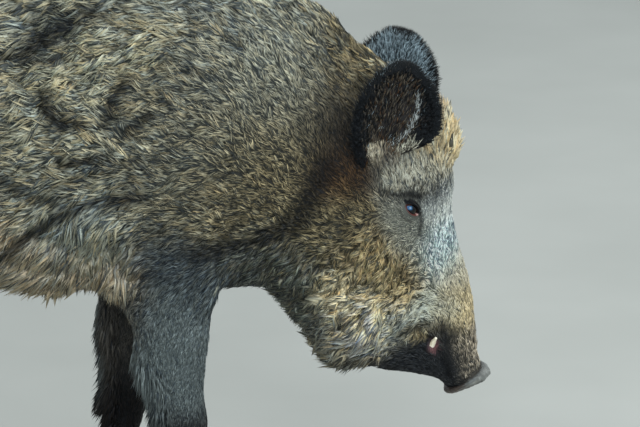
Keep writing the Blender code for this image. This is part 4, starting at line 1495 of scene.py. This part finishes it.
        # Painted shade: dark lines run along the coat where partings between its locks would be.
        parting = np.exp(-((Ripple(36, 0.024)(places * (0.5, 1, 1)) / 0.2) ** 2))
        parting *= 0.5 * step(14.0, 24.0, length_mm)
        tip, middle, root = (part * (1 - parting) for part in (tip, middle, root))
        # Tan and slate hairs lie side by side in the long coat, and dark bristles are painted bluer: a
        # painted sheen of the blue sky.
        warmth_and_sky_sheen = rng.normal(0, 0.075, count) + rng.normal(0, 0.06, count)[lead]
        warmth_and_sky_sheen = warmth_and_sky_sheen * step(10.0, 26.0, length_mm) - 0.16 * bristle
        hue = np.exp(warmth_and_sky_sheen[:, None] * (0.7, 0.0, -1.0))
        made = colours * np.stack([root, middle, tip], axis=1)[:, :, None] * hue[:, None, :]
        return made * np.minimum(1, PALEST / made.max(axis=2, keepdims=True))

    def region_of(self, places: np.ndarray) -> np.ndarray:
        """Share the roots out among the regions.

        Args:
            places: the roots.

        Returns:
            Each root's region.
        """
        x, z = self.chart.side_view(places)
        into_head = (x - 0.222) * 0.942 - (z - 0.520) * 0.337
        into_neck = x - 0.055
        below_body = z < 0.37
        made = np.full(len(places), int(Region.SHOULDER))
        for region, inside in (
            (Region.TRUNK_MIDDLE, x < -0.14),
            (Region.TRUNK_REAR, x < -0.42),
            (Region.NECK, into_neck > 0),
            (Region.HEAD, into_head > 0),
            (Region.FACE, (into_head > 0) & (z < 0.42) & (x > 0.22)),
            (Region.FORELEG, below_body & (x > -0.2) & (into_neck < 0.02)),
            (Region.HINDLEG, below_body & (x < -0.38)),
        ):
            made[inside] = region
        return made

    def unwrap(self, region: Region, places: np.ndarray) -> np.ndarray:
        """Lay a region's roots on the unit square: along the limb or trunk, and round it.

        Args:
            region: which region.
            places: its roots, all on one side.

        Returns:
            Places on the square, spread so that each band holds as many tufts.
        """
        x, y, z = places.T
        if region in (Region.FORELEG, Region.HINDLEG):
            middle = np.empty(len(x))
            band = np.clip((z / 0.02).astype(int), 0, 30)
            for level in np.unique(band):
                middle[band == level] = x[band == level].mean()
            along, turn = z, np.arctan2(y - y.mean(), x - middle)
        elif region in (Region.HEAD, Region.FACE):
            along, turn = -z + 0.1 * x, np.arctan2(x - x.mean() + 0.02, np.abs(y) + 0.01)
        else:
            along, turn = x, np.arctan2(z - TRUNK_AXIS_Z, np.abs(y) + 1e-4)
        return np.column_stack([rank(along), rank(turn)])

    def build(self, skin: Any, total: int, finish: Any) -> list[Any]:
        """Make the coat's pieces over the body.

        Args:
            skin: the body's skin.
            total: how many roots to scatter.
            finish: the hair's material.

        Returns:
            The pieces.
        """
        places, normals = self.roots(skin.data, total)
        keep = self.clear(places)
        places, normals = places[keep], normals[keep]
        tufts = self.shape(places, normals)
        where, left = self.region_of(places), places[:, 1] >= 0
        made = []
        for region in Region:
            for hand, side in (("left", left), ("right", ~left)):
                chosen = np.flatnonzero((where == region) & side)
                some = tufts.some(chosen, self.unwrap(region, places[chosen]))
                piece = some.mesh(f"coat_{region.name.lower()}_{hand}")
                made.append(finish_piece(piece, finish))
        return made

    def clear(self, places: np.ndarray) -> np.ndarray:
        """Choose where hair grows: not on eyes, bare lips or the nose disc's seat, nor on soles.

        Args:
            places: the roots.

        Returns:
            Whether to keep each.
        """
        x, z = self.chart.side_view(places)
        side = np.abs(places[:, 1])
        off_the_eye = (round_the_eye(x, z, 0.0135, 0.0088) > 1) | (side < 0.03)
        off_the_lip = (round_the_lip(x, z) > 0.74) | (side < 0.015)
        centre, forward = disc_axis(self.chart.origin_x)
        behind_the_disc = (places - centre) @ forward < -Snout.thickness
        return off_the_eye & off_the_lip & behind_the_disc & (z > 0.034)


def rank(values: np.ndarray) -> np.ndarray:
    """Each value's place in order, from 0 to 1."""
    made = np.empty(len(values))
    made[np.argsort(values, kind="stable")] = np.arange(len(values)) / max(len(values) - 1, 1)
    return made


@dataclass
class EarCoat:
    """Hair of an ear: black and short outside, a fringe round the rim, pale tufts inside."""

    shape: EarShape
    side: int  # 1 for the left ear and -1 for the right
    seed: int
    outside: int = 5000
    fringe: int = 3600
    band: int = 2800
    inside: int = 2200
    sets: list[Tufts] = field(default_factory=list)

    def __post_init__(self) -> None:
        """Lay out the ear's leaf and start its random draws."""
        self.rng = np.random.default_rng(self.seed)
        self.grid = self.shape.grid(self.side)
        self.along, self.opens, self.across = (
            np.array(way) * (1, self.side, 1) for way in self.shape.axes()
        )

    def surface(self, u: np.ndarray, v: np.ndarray) -> tuple[np.ndarray, np.ndarray]:
        """Find places on the leaf.

        Args:
            u: shares of the way up the ear.
            v: shares of the way across it, from the back edge.

        Returns:
            Places and inward normals.
        """
        rows, columns = self.grid.shape[:2]
        r = np.clip(u * (rows - 1), 0, rows - 1.001)
        c = np.clip(v * (columns - 1), 0, columns - 1.001)
        i, j = r.astype(int), c.astype(int)
        a, b = (r - i)[:, None], (c - j)[:, None]
        low = self.grid[i, j] * (1 - b) + self.grid[i, j + 1] * b
        high = self.grid[i + 1, j] * (1 - b) + self.grid[i + 1, j + 1] * b
        normal = np.cross(unit(high - low), unit(self.grid[i, j + 1] - self.grid[i, j]))
        normal *= np.sign((normal * self.opens).sum(axis=1, keepdims=True) + 1e-6)
        return low * (1 - a) + high * a, unit(normal)

    def comb(
        self,
        u: np.ndarray,
        v: np.ndarray,
        way: tuple[float, float | np.ndarray],
        size: tuple[float, float, float],
        tone: Tone,
        jitter: float,
        outwards: int | np.ndarray = -1,
    ) -> None:
        """Add hairs.

        Args:
            u: shares of the way up the ear.
            v: shares of the way across it, from the back edge.
            way: how far they point up the ear, and across it.
            size: length, lift off the skin in radians, and width.
            tone: their colours.
            jitter: how untidily they lie.
            outwards: 1 on the outer side and -1 on the inner.
        """
        rng, count = self.rng, len(u)
        length, lift, width = size
        place, inward = self.surface(u, v)
        normal = -inward * outwards
        lie = self.along * way[0] + self.across * np.broadcast_to(way[1], count)[:, None]
        lie = lie - normal * (lie * normal).sum(axis=1, keepdims=True)
        lie = unit(unit(lie) + rng.normal(0, jitter, (count, 3)))
        lift = lift + rng.normal(0, 0.08, count)
        first = lie * np.cos(lift)[:, None] + normal * np.sin(lift)[:, None]
        second = lie * np.cos(lift * 0.4)[:, None] + normal * np.sin(lift * 0.4)[:, None]
        second = unit(second + rng.normal(0, 0.12, (count, 3)))
        length = length * rng.uniform(0.7, 1.25, count)
        root = place + normal * (self.shape.wall / 2 - 0.0006)
        middle = root + first * (length * MIDDLE_SHARE)[:, None]
        tip = middle + second * (length * (1 - MIDDLE_SHARE))[:, None]
        side = unit(np.cross(normal, lie)) * (width / 2)
        tint = tone.colours[None] * np.exp(rng.normal(0, 0.3, (count, 1, 1)))
        sheet = np.column_stack([u, v])
        self.sets.append(Tufts(root, middle, tip, side, normal * (width * 0.3), tint, sheet))

    def either_side(self, count: int) -> np.ndarray:
        """1 or -1 for each hair, by chance."""
        return np.where(self.rng.random((count, 1)) < 0.5, 1, -1)

    def comb_outside(self) -> None:
        """Short slate-black hair up the ear, brown where it leaves the head, and black edges."""
        rng, count = self.rng, self.outside
        v = rng.uniform(0.09, 0.96, count)
        u = rng.uniform(0.22, 0.93, count)
        u = np.maximum(u, 0.22 + 0.16 * step(0.4, 0.9, v) + rng.uniform(0, 0.1, count))
        self.comb(u, v, (1, (v - 0.5) * 0.7), (0.017, 0.32, 0.0010), Tone.EAR_BACK, 0.2, 1)
        for low, high, tone in ((0.0, 0.55, Tone.UMBER_PALE), (0.5, 1.0, Tone.TEMPLE)):
            v = rng.uniform(low, high, 1300)
            u = rng.uniform(0.02, 0.27 + 0.12 * step(0.5, 0.9, v), 1300)
            self.comb(u, v, (1, (v - 0.5) * 0.7), (0.013, 0.3, 0.0012), tone, 0.14, 1)
        for low, high, least in ((0.0, 0.12, 0.2), (0.94, 1.0, 0.45), (0.0, 1.0, 0.91)):
            v, u = rng.uniform(low, high, 700), rng.uniform(least, 1.0, 700)
            self.comb(u, v, (1, v - 0.5), (0.015, 0.25, 0.0011), Tone.EAR_BLACK, 0.2, 1)

    def comb_fringe(self) -> None:
        """Long bristles that stand out past both edges and the tip."""
        rng, count = self.rng, self.fringe
        u = 1 - rng.power(1.5, count) * 0.80
        v = np.where(rng.random(count) < 0.5, rng.uniform(0, 0.05, count), rng.uniform(0.95, 1, count))
        u = np.where(v > 0.5, 0.42 + 0.58 * u, u)
        way = (0.7, np.where(v > 0.5, 0.9, -0.8))
        side = self.either_side(count)
        self.comb(u, v, way, (0.016, 0.12, 0.0008), Tone.EAR_BLACK, 0.36, side)
        u, v = rng.uniform(0.90, 1.0, count // 2), rng.random(count // 2)
        side = self.either_side(count // 2)
        self.comb(u, v, (1, (v - 0.5) * 1.2), (0.016, 0.1, 0.0010), Tone.EAR_BLACK, 0.25, side)

    def comb_band(self) -> None:
        """A broad black band inside the rim, combed outwards."""
        rng, count = self.rng, self.band
        front = rng.random(count) < 0.58
        v = np.where(front, 1 - 0.26 * rng.random(count) ** 1.5, 0.26 * rng.random(count) ** 1.5)
        u = rng.uniform(0.2, 0.99, count)
        u = np.maximum(u, np.where(front, 0.44, 0.2) + rng.uniform(0, 0.08, count))
        size = (0.013, 0.3, 0.0012)
        self.comb(u, v, (0.8, np.where(front, 0.7, -0.7)), size, Tone.EAR_BLACK, 0.2)
        u, v = rng.uniform(0.86, 1.0, count // 3), rng.random(count // 3)
        self.comb(u, v, (1, (v - 0.5) * 0.8), size, Tone.EAR_BLACK, 0.2)

    def comb_inside(self) -> None:
        """Thin brown hair over the skin, and a fine pale line behind the front band."""
        rng = self.rng
        for share, tone, length in (
            (0.55, Tone.EAR_IN, 0.016),
            (0.30, Tone.EAR_BLACK, 0.018),
            (0.15, Tone.UMBER_PALE, 0.013),
        ):
            count = int(self.inside * share)
            u, v = rng.uniform(0.12, 0.92, count), rng.uniform(0.06, 0.84, count)
            self.comb(u, v, (0.9, (v - 0.5) * 0.8), (length, 0.22, 0.0010), tone, 0.2)
        u = rng.uniform(0.26, 0.74, 210)
        v = 0.80 - 0.5 * (0.76 - u) ** 2 + rng.normal(0, 0.014, 210)
        self.comb(u, v, (0.9, -0.25), (0.012, 0.45, 0.0010), Tone.EAR_LINE, 0.18)

    def comb_base(self) -> None:
        """A cream tuft at the back, and grey-buff and brown hair that hides the front root."""
        rng = self.rng
        u, v = rng.uniform(0.08, 0.24, 260), rng.uniform(0.16, 0.30, 260)
        way = (0.9, rng.uniform(0.0, 0.5, 260))
        self.comb(u, v, way, (0.024, 0.45, 0.0010), Tone.BUFF_PALE, 0.15)
        v = rng.uniform(0.42, 1.0, 700)
        u = rng.uniform(0.02, 0.08 + 0.16 * step(0.6, 0.95, v), 700)
        way = (0.9, rng.uniform(-0.2, 0.4, 700))
        self.comb(u, v, way, (0.016, 0.35, 0.0011), Tone.TEMPLE, 0.25)
        v = rng.uniform(0.28, 0.96, 700)
        u = rng.uniform(0.04, 0.24 + 0.10 * v, 700)
        way = (0.9, rng.uniform(-0.2, 0.4, 700))
        self.comb(u, v, way, (0.018, 0.3, 0.0011), Tone.UMBER_PALE, 0.25)
        u, v = rng.uniform(0.10, 0.46, 500), rng.uniform(0.84, 1.0, 500)
        way = (1, rng.uniform(-0.4, 0.5, 500))
        side = self.either_side(500)
        self.comb(u, v, way, (0.015, 0.3, 0.0009), Tone.TEMPLE, 0.25, side)
        u, v = rng.uniform(0.04, 0.24, 500), rng.uniform(0.0, 0.2, 500)
        way = (0.9, -rng.uniform(0, 0.4, 500))
        self.comb(u, v, way, (0.015, 0.4, 0.0012), Tone.UMBER, 0.2)

    def build(self, name: str, finish: Any) -> Any:
        """Make the ear's coat.

        Args:
            name: the piece's name.
            finish: the hair's material.

        Returns:
            The piece.
        """
        self.comb_outside()
        self.comb_fringe()
        self.comb_band()
        self.comb_inside()
        self.comb_base()
        hair = Tufts.joined(self.sets)
        hair.sheet = np.column_stack([rank(column) for column in hair.sheet.T])
        return finish_piece(hair.mesh(name), finish)


# ---------------------------------------------------------------------------
# Eyes, snout, tusks, claws


@dataclass
class Eye:
    """An eyeball and its lids. The slit runs down and forwards to a pink inner corner."""

    centre: Vector
    radius: float
    side: int
    slit: tuple[float, float] = (0.0096, 0.0056)  # half length and half height
    columns: int = 56
    # The lids, from the ball outwards: share of the slit's size, and height over ball or skin.
    on_ball: tuple[tuple[float, float], ...] = (
        (0.80, -0.0015), (1.00, 0.0004), (1.03, 0.0014), (1.12, 0.0024), (1.25, 0.0026),
        (1.36, 0.0017), (1.46, 0.0012),
    )
    on_skin: tuple[tuple[float, float], ...] = (
        (1.54, 0.0013), (1.62, 0.0014), (1.72, 0.0007), (1.82, 0.0009), (1.94, 0.0004),
        (2.06, 0.0003), (2.20, -0.0004), (2.40, -0.0030),
    )

    def axes(self, tree: BVHTree) -> tuple[Vector, Vector, Vector]:
        """The eye's own directions.

        Args:
            tree: the skin's faces.

        Returns:
            Out of the head, along the slit to its inner corner, and up across it.
        """
        out = Vector((0.30, self.side, 0.10)).normalized()
        near = tree.find_nearest(self.centre + out * 0.03)
        if near[1] is not None:
            out = (out + near[1].normalized() * 0.8).normalized()
        slit = Vector((0.80, 0.0, -0.60))
        slit = (slit - out * slit.dot(out)).normalized()
        up = out.cross(slit)
        if up.z < 0:
            up = -up
        return out, slit, up

    def build_ball(self, name: str, out: Vector, finish: Any) -> Any:
        """The eyeball, with how far each point is round from the pupil.

        Args:
            name: the CAD node that it stands for, and its own name's stem.
            out: the way the eye looks.
            finish: its material.

        Returns:
            The piece.
        """
        bpy.ops.object.select_all(action="DESELECT")
        bpy.ops.mesh.primitive_uv_sphere_add(
            segments=48, ring_count=32, radius=self.radius, location=self.centre
        )
        ball = bpy.context.object
        ball.name = f"eyeball_{name}"
        bpy.ops.object.transform_apply(location=True, rotation=True, scale=True)
        places = points_of(ball.data)
        ways = unit(places - np.array(self.centre))
        turn = np.arccos(np.clip(ways @ np.array(out), -1, 1)) / math.pi
        # The cornea stands a little proud of the ball.
        bulge = 1 + 0.05 * step(0.24, 0.05, turn)
        set_points(ball.data, np.array(self.centre) + ways * (self.radius * bulge)[:, None])
        layer = ball.data.attributes.new("outwards", "FLOAT", "POINT")
        layer.data.foreach_set("value", turn.astype(np.float32))
        return finish_piece(ball, finish, (name,))

    def build_lids(
        self, name: str, axes: tuple[Vector, Vector, Vector], tree: BVHTree, finish: Any
    ) -> Any:
        """The lids: a thick rim round the slit that runs out under the fur.

        Args:
            name: the piece's name.
            axes: from axes().
            tree: the skin, to find how far out it is.
            finish: their material.

        Returns:
            The piece.
        """
        turns = [2 * math.pi * k / self.columns for k in range(self.columns)]
        places, tints = [], []
        for share, height in self.on_ball + self.on_skin:
            places += [self.lid_place(axes, tree, share, height, turn) for turn in turns]
            tints += [self.lid_tint(share, turn) for turn in turns]
        # A back wall closes the rim behind the skin.
        behind = -0.004 * np.array(axes[0])
        places += [place + behind for place in places[-self.columns :] + places[: self.columns]]
        tints += tints[-self.columns :] + tints[: self.columns]
        rings = len(places) // self.columns
        faces = []
        for ring in range(rings):
            one, two = ring * self.columns, (ring + 1) % rings * self.columns
            for k in range(self.columns):
                n = (k + 1) % self.columns
                faces.append((one + k, one + n, two + n, two + k))
        mesh = bpy.data.meshes.new(name)
        mesh.from_pydata([tuple(place) for place in places], [], faces)
        face_outwards(mesh)
        paint(mesh, np.array(tints))
        return finish_piece(new_object(name, mesh), finish)

    def lid_place(
        self,
        axes: tuple[Vector, Vector, Vector],
        tree: BVHTree,
        share: float,
        height: float,
        turn: float,
    ) -> np.ndarray:
        """Place a point of the lids.

        Args:
            axes: from axes().
            tree: the skin's faces.
            share: its ring's share of the slit's size.
            height: how far it stands over the ball, or over the skin on the outer rings.
            turn: how far round the slit it is, from the inner corner.

        Returns:
            The point.
        """
        out, slit, up = (np.array(way) for way in axes)
        centre, c, s = np.array(self.centre), math.cos(turn), math.sin(turn)
        a = self.slit[0] * share * c * (1.12 if c > 0 else 1.0)
        b = self.slit[1] * (1 + (share - 1) * 1.25) * s
        if share <= 1.03:
            b *= 1 - 0.35 * max(0.0, c) ** 4  # the inner corner is pinched
        aside = min(math.hypot(a, b), self.radius * 0.98)
        ball = math.sqrt(max((self.radius + height) ** 2 - aside**2, 0.0))
        start = Vector(centre + slit * a + up * b + out * 0.04)
        hit = tree.ray_cast(start, Vector(-out))[0]
        skin = (np.array(hit) - centre) @ out if hit else ball
        if share > self.on_ball[-1][0]:
            rise = skin + height
        else:
            rise = ball + (0.0007 if s > 0.2 and share > 1.1 else 0.0)
            rise = max(rise, skin + 0.0008) if share > 1.2 else rise
        return centre + slit * a + up * b + out * rise

    @staticmethod
    def lid_tint(share: float, turn: float) -> np.ndarray:
        """Colour a point of the lids: near-black above, red-brown below, pink at the corner, with painted
        shade in the wrinkles below.

        Args:
            share: its ring's share of the slit's size.
            turn: how far round the slit it is, from the inner corner.

        Returns:
            Its colour, linear.
        """
        black, red, pink, grey = (
            np.array(linear(code)) for code in ("#050608", "#5a2d29", "#b8958e", "#51544f")
        )
        upper = step(-0.25, 0.25, np.array(math.sin(turn)))
        inner = step(0.86, 0.99, np.array(math.cos(turn)))
        rim = red * (1 - inner) + pink * inner if share < 1.2 else red
        low = step(1.08, 1.30, np.array(share))
        high = step(1.7, 2.4, np.array(share))
        # Painted shade in the lid's wrinkles: rings a little darker and paler in turn.
        wrinkle_shade = 1 + 0.35 * math.sin(share / 0.22 * 2 * math.pi + 1.2 * math.sin(2 * turn))
        below = rim * (1 - low) + grey * wrinkle_shade * low
        above = black * (1 - high) + grey * high
        return below * (1 - upper) + above * upper


@dataclass
class Snout:
    """The nose disc: a rounded, pored pad with two deep nostrils, pale on its rim, with painted shade on
    its face and in its nostrils.
    """

    origin_x: float
    thickness: float = 0.0145
    half_height: float = 0.034
    half_width: float = 0.042
    voxel: float = 0.0013

    def build(self, finish: Any) -> Any:
        """Make the disc from the front of its solid.

        Args:
            finish: its material.

        Returns:
            The piece.
        """
        piece = merged_copy("nose_disc", ("snout",))
        centre, forward = disc_axis(self.origin_x)
        with editing(piece.data) as shape:
            cut = bmesh.ops.bisect_plane(
                shape,
                geom=shape.verts[:] + shape.edges[:] + shape.faces[:],
                plane_co=centre - forward * self.thickness,
                plane_no=forward,
                clear_inner=True,
            )
            rim = [e for e in cut["geom_cut"] if isinstance(e, bmesh.types.BMEdge)]
            bmesh.ops.contextual_create(shape, geom=rim)
        apply_modifier(piece, "REMESH", mode="VOXEL", voxel_size=self.voxel)
        apply_modifier(piece, "SMOOTH", factor=0.5, iterations=6)
        places, normals = points_of(piece.data), normals_of(piece.data)
        rough = 0.0007 * Ripple(41, 0.014)(places) + 0.00025 * Ripple(42, 0.005)(places)
        set_points(piece.data, places + normals * rough[:, None])
        self.colour(piece.data, centre, forward)
        return finish_piece(piece, finish, ("snout",))

    def colour(self, mesh: Any, centre: np.ndarray, forward: np.ndarray) -> None:
        """Paint the disc: pale grey rim, browner low down, and painted shade on its down-facing face, its
        lower part and in the nostrils.

        Args:
            mesh: the disc.
            centre: the middle of its face.
            forward: the way it faces.
        """
        places = points_of(mesh)
        up = np.array((-forward[2], 0.0, forward[0]))
        ahead = (places - centre) @ forward
        high = (places - centre) @ up / self.half_height
        aside = places[:, 1] / self.half_width
        pale, brown, dark = (np.array(linear(c)) for c in ("#70736f", "#4a4038", "#1a1614"))
        # Browner and darker low down: partly the skin's own brown, partly painted shade of the lower part.
        low = step(0.5, -0.55, high + 0.35 * Ripple(43, 0.02)(places))[:, None]
        tint = pale * (1 - low) + brown * low
        # Painted shade on the front face, which looks down, below its top edge; the sides are darker again
        # at the back, next to the muzzle's skin.
        tint = tint * (1 - 0.5 * step(-0.0045, -0.001, ahead) * (high < 0.6))[:, None]
        tint = tint * (1 - 0.45 * step(-0.009, -0.0125, ahead))[:, None]
        tint = tint * np.exp(0.22 * Ripple(44, 0.006)(places))[:, None]
        face = step(0.85, 0.6, np.hypot(high, aside))[:, None]
        tint = tint * (1 - 0.45 * face) + brown * 0.45 * face
        # Painted shade in the nostrils, darker with their depth.
        hole = np.hypot((np.abs(aside) - 0.39) / 0.20, (high - 0.09) / 0.30)
        nostril_shade = (step(1.15, 0.85, hole) * step(-0.0115, -0.004, ahead + 0.004))[:, None]
        inside = (step(0.0, -0.0035, ahead) * step(1.1, 0.9, hole))[:, None]
        nostril_shade = np.maximum(nostril_shade * 0.4, inside)
        paint(mesh, tint * (1 - nostril_shade) + dark * nostril_shade)


@dataclass
class Claws:
    """The four claws of a foot: two to walk on and two dewclaws, of ringed horn."""

    end: str
    hand: str

    @staticmethod
    def refined(name: str, node: str, voxel: float) -> Any:
        """A finely meshed, softened copy of a CAD node.

        Args:
            name: the piece's name.
            node: the node it copies.
            voxel: the grain of the new mesh.

        Returns:
            The object.
        """
        piece = merged_copy(name, (node,))
        apply_modifier(piece, "REMESH", mode="VOXEL", voxel_size=voxel)
        apply_modifier(piece, "SMOOTH", factor=0.5, iterations=8)
        return piece

    def build(self, finish: Any) -> list[Any]:
        """Make each claw from its solid.

        Args:
            finish: the horn.

        Returns:
            The pieces.
        """
        made = []
        for kind, voxel in (("claw", 0.0016), ("dewclaw", 0.0015)):
            for where in ("inner", "outer"):
                node = f"{kind}_{self.end}_{self.hand}_{where}"
                piece = self.refined(f"horn_{node}", node, voxel)
                if kind == "claw":
                    places = points_of(piece.data)
                    places[places[:, 2] < voxel, 2] = 0.0  # the sole stays flat on the floor
                    set_points(piece.data, places)
                made.append(finish_piece(piece, finish, (node,)))
        return made


# ---------------------------------------------------------------------------
# Studio


@dataclass
class Studio:
    """A plain floor, soft light from above and a long lens level with the shoulder."""

    origin_x: float
    elevation: float = 16.0
    distance: float = 6.0
    view_width: float = 0.864
    target_x: float = 0.178  # from the right forefoot's middle
    target_z: float = 0.479
    sensor: float = 36.0

    def floor(self) -> None:
        """The floor, far wider than the view."""
        bpy.ops.object.select_all(action="DESELECT")
        bpy.ops.mesh.primitive_plane_add(size=40.0, location=(0, 0, 0))
        floor = bpy.context.object
        floor.name = "studio_floor"
        floor.data.materials.append(Ground("studio_floor_paint", 0.9, specular=0.2).make())

    def lights(self, eyeballs: Sequence[Any]) -> None:
        """A broad soft key from above and in front, and a pale sky all round.

        Args:
            eyeballs: these alone mirror a lamp as blue as an open sky.
        """
        aim = Vector((0.1, 0, 0.45))
        white, blue = (0.98, 1.0, 1.0), (0.08, 0.45, 1.0)
        for name, place, size, power, colour in (
            ("key", (1.1, -3.5, 1.9), 1.8, 105.0, white),
            ("top", (-0.4, 0.6, 4.0), 4.0, 70.0, white),
            ("rim", (3.0, 1.6, 2.2), 2.0, 25.0, white),
            ("sky", (0.75, -3.0, 1.35), 4.0, 70.0, blue),
            ("sky_in_the_eyes", (0.75, -2.8, 1.35), 4.0, 420.0, blue),
        ):
            data = bpy.data.lights.new(name, "AREA")
            data.size, data.energy, data.color = size, power, colour
            lamp = new_object(name, data)
            lamp.visible_diffuse = colour == white
            lamp.location = place
            lamp.rotation_euler = (aim - Vector(place)).to_track_quat("-Z", "Y").to_euler()
            if name == "sky_in_the_eyes":
                lamp.light_linking.receiver_collection = bpy.data.collections.new("eyeballs")
                for ball in eyeballs:
                    lamp.light_linking.receiver_collection.objects.link(ball)
        world = bpy.data.worlds.new("pale_sky")
        world.use_nodes = True
        sky = world.node_tree.nodes["Background"]
        sky.inputs["Color"].default_value = (*linear("#dfe6e9"), 1.0)
        sky.inputs["Strength"].default_value = 0.95
        bpy.context.scene.world = world

    def camera(self) -> None:
        """A long lens, so near and far sides are almost the same size."""
        target = Vector((self.origin_x + self.target_x, 0.0, self.target_z))
        tilt = math.radians(self.elevation)
        back = Vector((0.0, -math.cos(tilt), math.sin(tilt)))
        data = bpy.data.cameras.new("camera")
        data.sensor_width = self.sensor
        data.lens = self.sensor * self.distance / self.view_width
        data.clip_end = 100.0
        camera = new_object("camera", data)
        camera.location = target + back * self.distance
        camera.rotation_euler = (-back).to_track_quat("-Z", "Y").to_euler()
        bpy.context.scene.camera = camera
        bpy.context.scene.view_settings.view_transform = "Standard"


def build_ears_and_coat(chart: Chart, skin: Any, hair: Any) -> list[Any]:
    """Make the ears' skins, the body's coat and the ears' coats.

    Args:
        chart: the chart of the coat.
        skin: the body's skin.
        hair: the hair's material.

    Returns:
        The ears' skins.
    """
    ear = EarShape(Vector((chart.origin_x + EAR_X, EAR_Y, EAR_Z)))
    ears = [ear.build(f"ear_skin_{hand}", side) for hand, side in SIDES]
    Coat(chart).build(skin, TUFTS, hair)
    for seed, (hand, side) in enumerate(SIDES, start=50):
        EarCoat(ear, side, seed).build(f"coat_ear_{hand}", hair)
    for skin_of_ear in ears:
        count = len(skin_of_ear.data.vertices)
        paint(skin_of_ear.data, np.tile(np.array(linear("#1c1815")), (count, 1)))
    return ears


def build_eyes(tree: BVHTree) -> list[Any]:
    """Make both eyeballs and their lids.

    Args:
        tree: the faces of the body's skin.

    Returns:
        The eyeballs.
    """
    wet = WetEye("wet_eyeball", 0.04, ior=1.38).make()
    lid = Lid("eyelid_skin", 0.5, specular=0.15).make()
    balls = []
    for hand, side in SIDES:
        low, high = (Vector(corner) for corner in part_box(f"eye_{hand}"))
        eye = Eye((low + high) / 2, (high - low).z / 2, side)
        axes = eye.axes(tree)
        balls.append(eye.build_ball(f"eye_{hand}", axes[0], wet))
        eye.build_lids(f"eyelids_{hand}", axes, tree, lid)
    return balls


def main() -> None:
    """Load the frame, build each part of the boar in order, and set the studio."""
    logging.basicConfig(level=logging.INFO, format="%(message)s")
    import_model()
    origin_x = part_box("claw_fore_right_outer")[0][0] + FOREFOOT_MIDDLE
    studio = Studio(origin_x)
    studio.camera()
    studio.floor()

    hair = Hair("bristle_keratin", 0.6, ior=1.55, specular=0.22).make()
    hide = Hide("short_haired_hide", 0.7, specular=0.3).make()
    chart = Chart(origin_x)
    skin_maker = Skin(chart)
    skin = skin_maker.build()
    tree = skin_maker.tree(skin)
    ears = build_ears_and_coat(chart, skin, hair)
    skin_maker.dress(skin)
    only(skin)
    for skin_of_ear in ears:
        skin_of_ear.select_set(True)
    bpy.ops.object.join()
    finish_piece(skin, hide, FLESH + ("ear_left", "ear_right"))

    eyeballs = build_eyes(tree)
    Snout(origin_x).build(BareSkin("damp_snout_skin", 0.55, specular=0.4, coat=0.08).make())
    ivory = Ivory("tusk_ivory", 0.3, ior=1.54, coat=0.2).make()
    for hand, _ in SIDES:
        for slot in bpy.data.objects[f"tusk_{hand}"].material_slots:
            slot.material = ivory
    horn = Horn("claw_horn", 0.5, ior=1.55).make()
    for end, (hand, _) in product(("fore", "hind"), SIDES):
        Claws(end, hand).build(horn)
    studio.lights(eyeballs)


if __name__ == "__main__":
    main()
